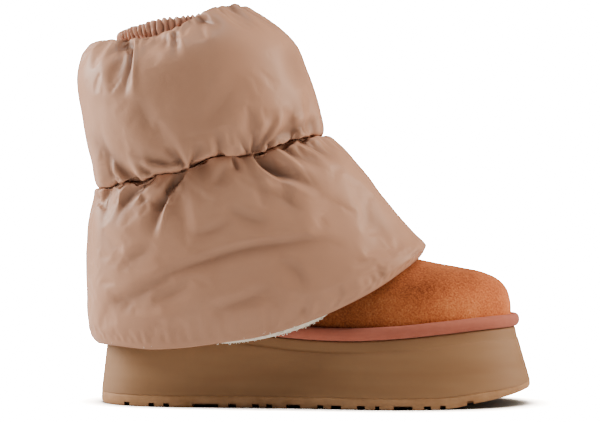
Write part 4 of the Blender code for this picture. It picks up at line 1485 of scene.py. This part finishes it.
pleat_kinds = {"Pleats": "Float", "Depth": "Float", "Unevenness": "Float", "Seed": "Float"}
pleat_tree, pleat_given, pleat_end = node_tree("ruched_casing", **pleat_kinds)
pleat_turn = named(pleat_tree, "turn")
pleat_share = named(pleat_tree, "pleated")
pleat_sine = calc(pleat_tree, "SINE", pleat_turn)
pleat_cosine = calc(pleat_tree, "COSINE", pleat_turn)
pleat_axes = {"X": pleat_sine, "Y": pleat_cosine, "Z": named(pleat_tree, "level")}
pleat_spot = add(pleat_tree, "ShaderNodeCombineXYZ", pleat_axes)
pleat_drift = {"Vector": pleat_spot, "W": pleat_given["Seed"], "Scale": 5.0, "Detail": 2.0}
pleat_noise = add(pleat_tree, "ShaderNodeTexNoise", pleat_drift, noise_dimensions="4D")
pleat_centred = calc(pleat_tree, "SUBTRACT", pleat_noise, 0.5)
pleat_shift = calc(pleat_tree, "MULTIPLY", pleat_centred, pleat_given["Unevenness"])
pleat_phase = calc(pleat_tree, "MULTIPLY_ADD", pleat_turn, pleat_given["Pleats"], pleat_shift)
pleat_round = calc(pleat_tree, "ABSOLUTE", calc(pleat_tree, "SINE", pleat_phase))
pleat_swell = {"Vector": pleat_spot, "W": pleat_given["Seed"], "Scale": 9.0, "Detail": 1.0}
pleat_fullness = add(pleat_tree, "ShaderNodeTexNoise", pleat_swell, noise_dimensions="4D")
pleat_size = calc(pleat_tree, "MULTIPLY", pleat_round, pleat_fullness)
pleat_height = calc(pleat_tree, "MULTIPLY", pleat_size, pleat_given["Depth"])
pleat_masked = calc(pleat_tree, "MULTIPLY", pleat_height, pleat_share)
pleat_deep = calc(pleat_tree, "MULTIPLY", pleat_masked, 2.0)
pleat_way = {0: add(pleat_tree, "GeometryNodeInputNormal"), "Scale": pleat_deep}
pleat_offset = add(pleat_tree, "ShaderNodeVectorMath", pleat_way, operation="SCALE")
pleat_raised = {"Geometry": pleat_given["Geometry"], "Offset": pleat_offset}
pleat_move = add(pleat_tree, "GeometryNodeSetPosition", pleat_raised)
# Painted shade in the pleats' valleys, stored for the nylon to darken its colour.
pleat_gap = calc(pleat_tree, "SUBTRACT", 1.0, pleat_round)
pleat_narrow = calc(pleat_tree, "POWER", pleat_gap, 2.0)
pleat_painted_shade = calc(pleat_tree, "MULTIPLY", pleat_narrow, pleat_share)
pleat_stored = {"Geometry": pleat_move, "Name": "fold", "Value": pleat_painted_shade}
pleat_shade = add(pleat_tree, "GeometryNodeStoreNamedAttribute", pleat_stored, data_type="FLOAT")
finish_tree(pleat_tree, pleat_shade, pleat_given, pleat_end)

# Columns: inset in collar walls, height share, how far it is pleated
COLLAR_PROFILE = (
    (0.55, 0.00, 0.0),
    (0.50, 0.25, 0.6),
    (0.46, 0.50, 1.0),
    (0.46, 0.75, 1.0),
    (0.52, 0.92, 0.9),
    (0.75, 1.00, 0.8),
    (1.05, 1.00, 0.7),
    (1.30, 0.92, 0.6),
    (1.36, 0.75, 0.6),
    (1.36, 0.45, 0.5),
    (1.36, 0.15, 0.2),
    (1.36, 0.00, 0.0),
)
collar_foot = SHAFT_HEIGHT - COLLAR_HEIGHT
collar_control = [
    leaning(neck_ring(COLLAR_SIDES, COLLAR_WALL * inset, collar_foot + COLLAR_HEIGHT * height))
    for inset, height, _ in COLLAR_PROFILE
]
collar_rows = refine(collar_control, COLLAR_SPACING)
collar_front = smooth_step(DIP_BACK, DIP_FRONT, (1 - np.cos(angles(COLLAR_SIDES))) / 2)
collar_rows[..., 2] -= COLLAR_DIP * collar_front
collar = ring_mesh("ruched_collar", collar_rows)
collar_at = np.linspace(0, 1, len(collar_rows))
collar_known = np.linspace(0, 1, len(COLLAR_PROFILE))
collar_pleated = np.interp(collar_at, collar_known, [row[2] for row in COLLAR_PROFILE])
write_values(collar, "turn", np.tile(angles(COLLAR_SIDES), len(collar_rows)))
write_values(collar, "level", np.repeat(collar_at * COLLAR_LEVELS, COLLAR_SIDES))
write_values(collar, "pleated", np.repeat(collar_pleated, COLLAR_SIDES))
collar_nylon = nylon("collar_nylon", linear(190, 138, 112), linear(204, 154, 130), 0.46)
collar_values = {"Pleats": COLLAR_PLEATS / 2, "Depth": PLEAT_DEPTH, "Unevenness": 6.0, "Seed": 4.0}
grow_nodes(collar, pleat_tree, {**collar_values, "Material": collar_nylon})
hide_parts("collar_elastic")
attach(collar, "root")


# Studio: a pale floor and a white surround, large soft lamps at both sides and above, and the camera
# that stands level with the boot's outer side, a little ahead of it.
FLOOR_REACH = 30.0
TARGET = Vector((-9.9 * MM, 0, 125.3 * MM))
LENS = 165.1
WHITE = 30.0
FILL = 0.09
PAPER_WHITE = 26.0
PAPER_DULL = 0.8
SHADOW_GREY = 0.1
SHADOW_REACH = 34 * MM
SHADOW_POWER = 4.5
FADE_START = 0.5
FADE_END = 1.6


def grey(level):
    return (level, level, level, 1)


def mixed(tree, share, first, second):
    """One shader that turns into another."""
    return add(tree, "ShaderNodeMixShader", {0: share, 1: first, 2: second})


def aimed(name, data, spot):
    """A lamp or the camera at its place, turned to the boot."""
    piece = placed(name, data)
    piece.location = spot
    piece.rotation_euler = (TARGET - piece.location).to_track_quat("-Z", "Y").to_euler()
    return piece


def camera_rays(tree):
    return add(tree, "ShaderNodeLightPath").outputs["Is Camera Ray"]


floor_mesh = bpy.data.meshes.new("studio_floor")
floor_corners = [(FLOOR_REACH * x, FLOOR_REACH * y, 0) for x, y in ((-1, -1), (1, -1), (1, 1), (-1, 1))]
floor_mesh.from_pydata(floor_corners, [], [(0, 1, 2, 3)])
floor = placed("studio_floor", floor_mesh)
paper = bpy.data.materials.new("pale_floor")
paper.use_nodes = True
paper_tree = paper.node_tree
paper_tree.nodes.clear()
paper_far = add(paper_tree, "ShaderNodeVectorMath", {0: place(paper_tree)}, operation="LENGTH")
paper_reach = {"Value": paper_far.outputs["Value"], "From Min": FADE_START, "From Max": FADE_END}
paper_fade = add(paper_tree, "ShaderNodeMapRange", paper_reach)
paper_glow = add(paper_tree, "ShaderNodeEmission", {"Strength": WHITE})
# Painted shadow: for the camera, the floor's colour turns grey where ambient occlusion finds the boot close
# by.
paper_near = add(paper_tree, "ShaderNodeAmbientOcclusion", {"Distance": SHADOW_REACH}, samples=16)
paper_dark = calc(paper_tree, "POWER", paper_near.outputs["AO"], SHADOW_POWER)
paper_tones = {"Factor": paper_dark, "A": grey(SHADOW_GREY), "B": grey(PAPER_WHITE)}
paper_shade = add(paper_tree, "ShaderNodeMix", paper_tones, data_type="RGBA").outputs["Result"]
paper_dull = add(paper_tree, "ShaderNodeBsdfDiffuse", {"Color": grey(PAPER_DULL)})
paper_bright = add(paper_tree, "ShaderNodeBsdfDiffuse", {"Color": paper_shade})
paper_edge = mixed(paper_tree, paper_fade, paper_bright, paper_glow)
paper_mix = mixed(paper_tree, camera_rays(paper_tree), paper_dull, paper_edge)
add(paper_tree, "ShaderNodeOutputMaterial", {"Surface": paper_mix})
floor_mesh.materials.append(paper)

surround = bpy.data.worlds.new("white_surround")
surround.use_nodes = True
sky_tree = surround.node_tree
sky_tree.nodes.clear()
sky_fill = add(sky_tree, "ShaderNodeBackground", {"Color": grey(1), "Strength": FILL})
sky_white = add(sky_tree, "ShaderNodeBackground", {"Color": grey(1), "Strength": WHITE})
sky_mix = mixed(sky_tree, camera_rays(sky_tree), sky_fill, sky_white)
add(sky_tree, "ShaderNodeOutputWorld", {"Surface": sky_mix})
bpy.context.scene.world = surround

# Columns: name, place, size, power and tint of each lamp
LAMPS = (
    ("left_softbox", (-1.6, 0.3, 0.8), 1.0, 68.0, (1.0, 0.95, 0.88)),
    ("right_softbox", (1.7, 0.2, 0.8), 1.0, 48.0, (1.0, 0.88, 0.74)),
    ("top_softbox", (0.1, -0.3, 1.9), 0.9, 24.0, (1.0, 0.97, 0.92)),
)
for name, spot, size, watts, tint in LAMPS:
    lamp = bpy.data.lights.new(name, "AREA")
    lamp.shape = "SQUARE"
    lamp.size = size
    lamp.energy = watts
    lamp.color = tint
    aimed(name, lamp, spot)

camera = bpy.data.cameras.new("camera")
camera.lens = LENS
camera.sensor_width = 36
camera.clip_start = 0.01
bpy.context.scene.camera = aimed("camera", camera, (EYE_SIDE, -EYE_BACK, EYE_HEIGHT))
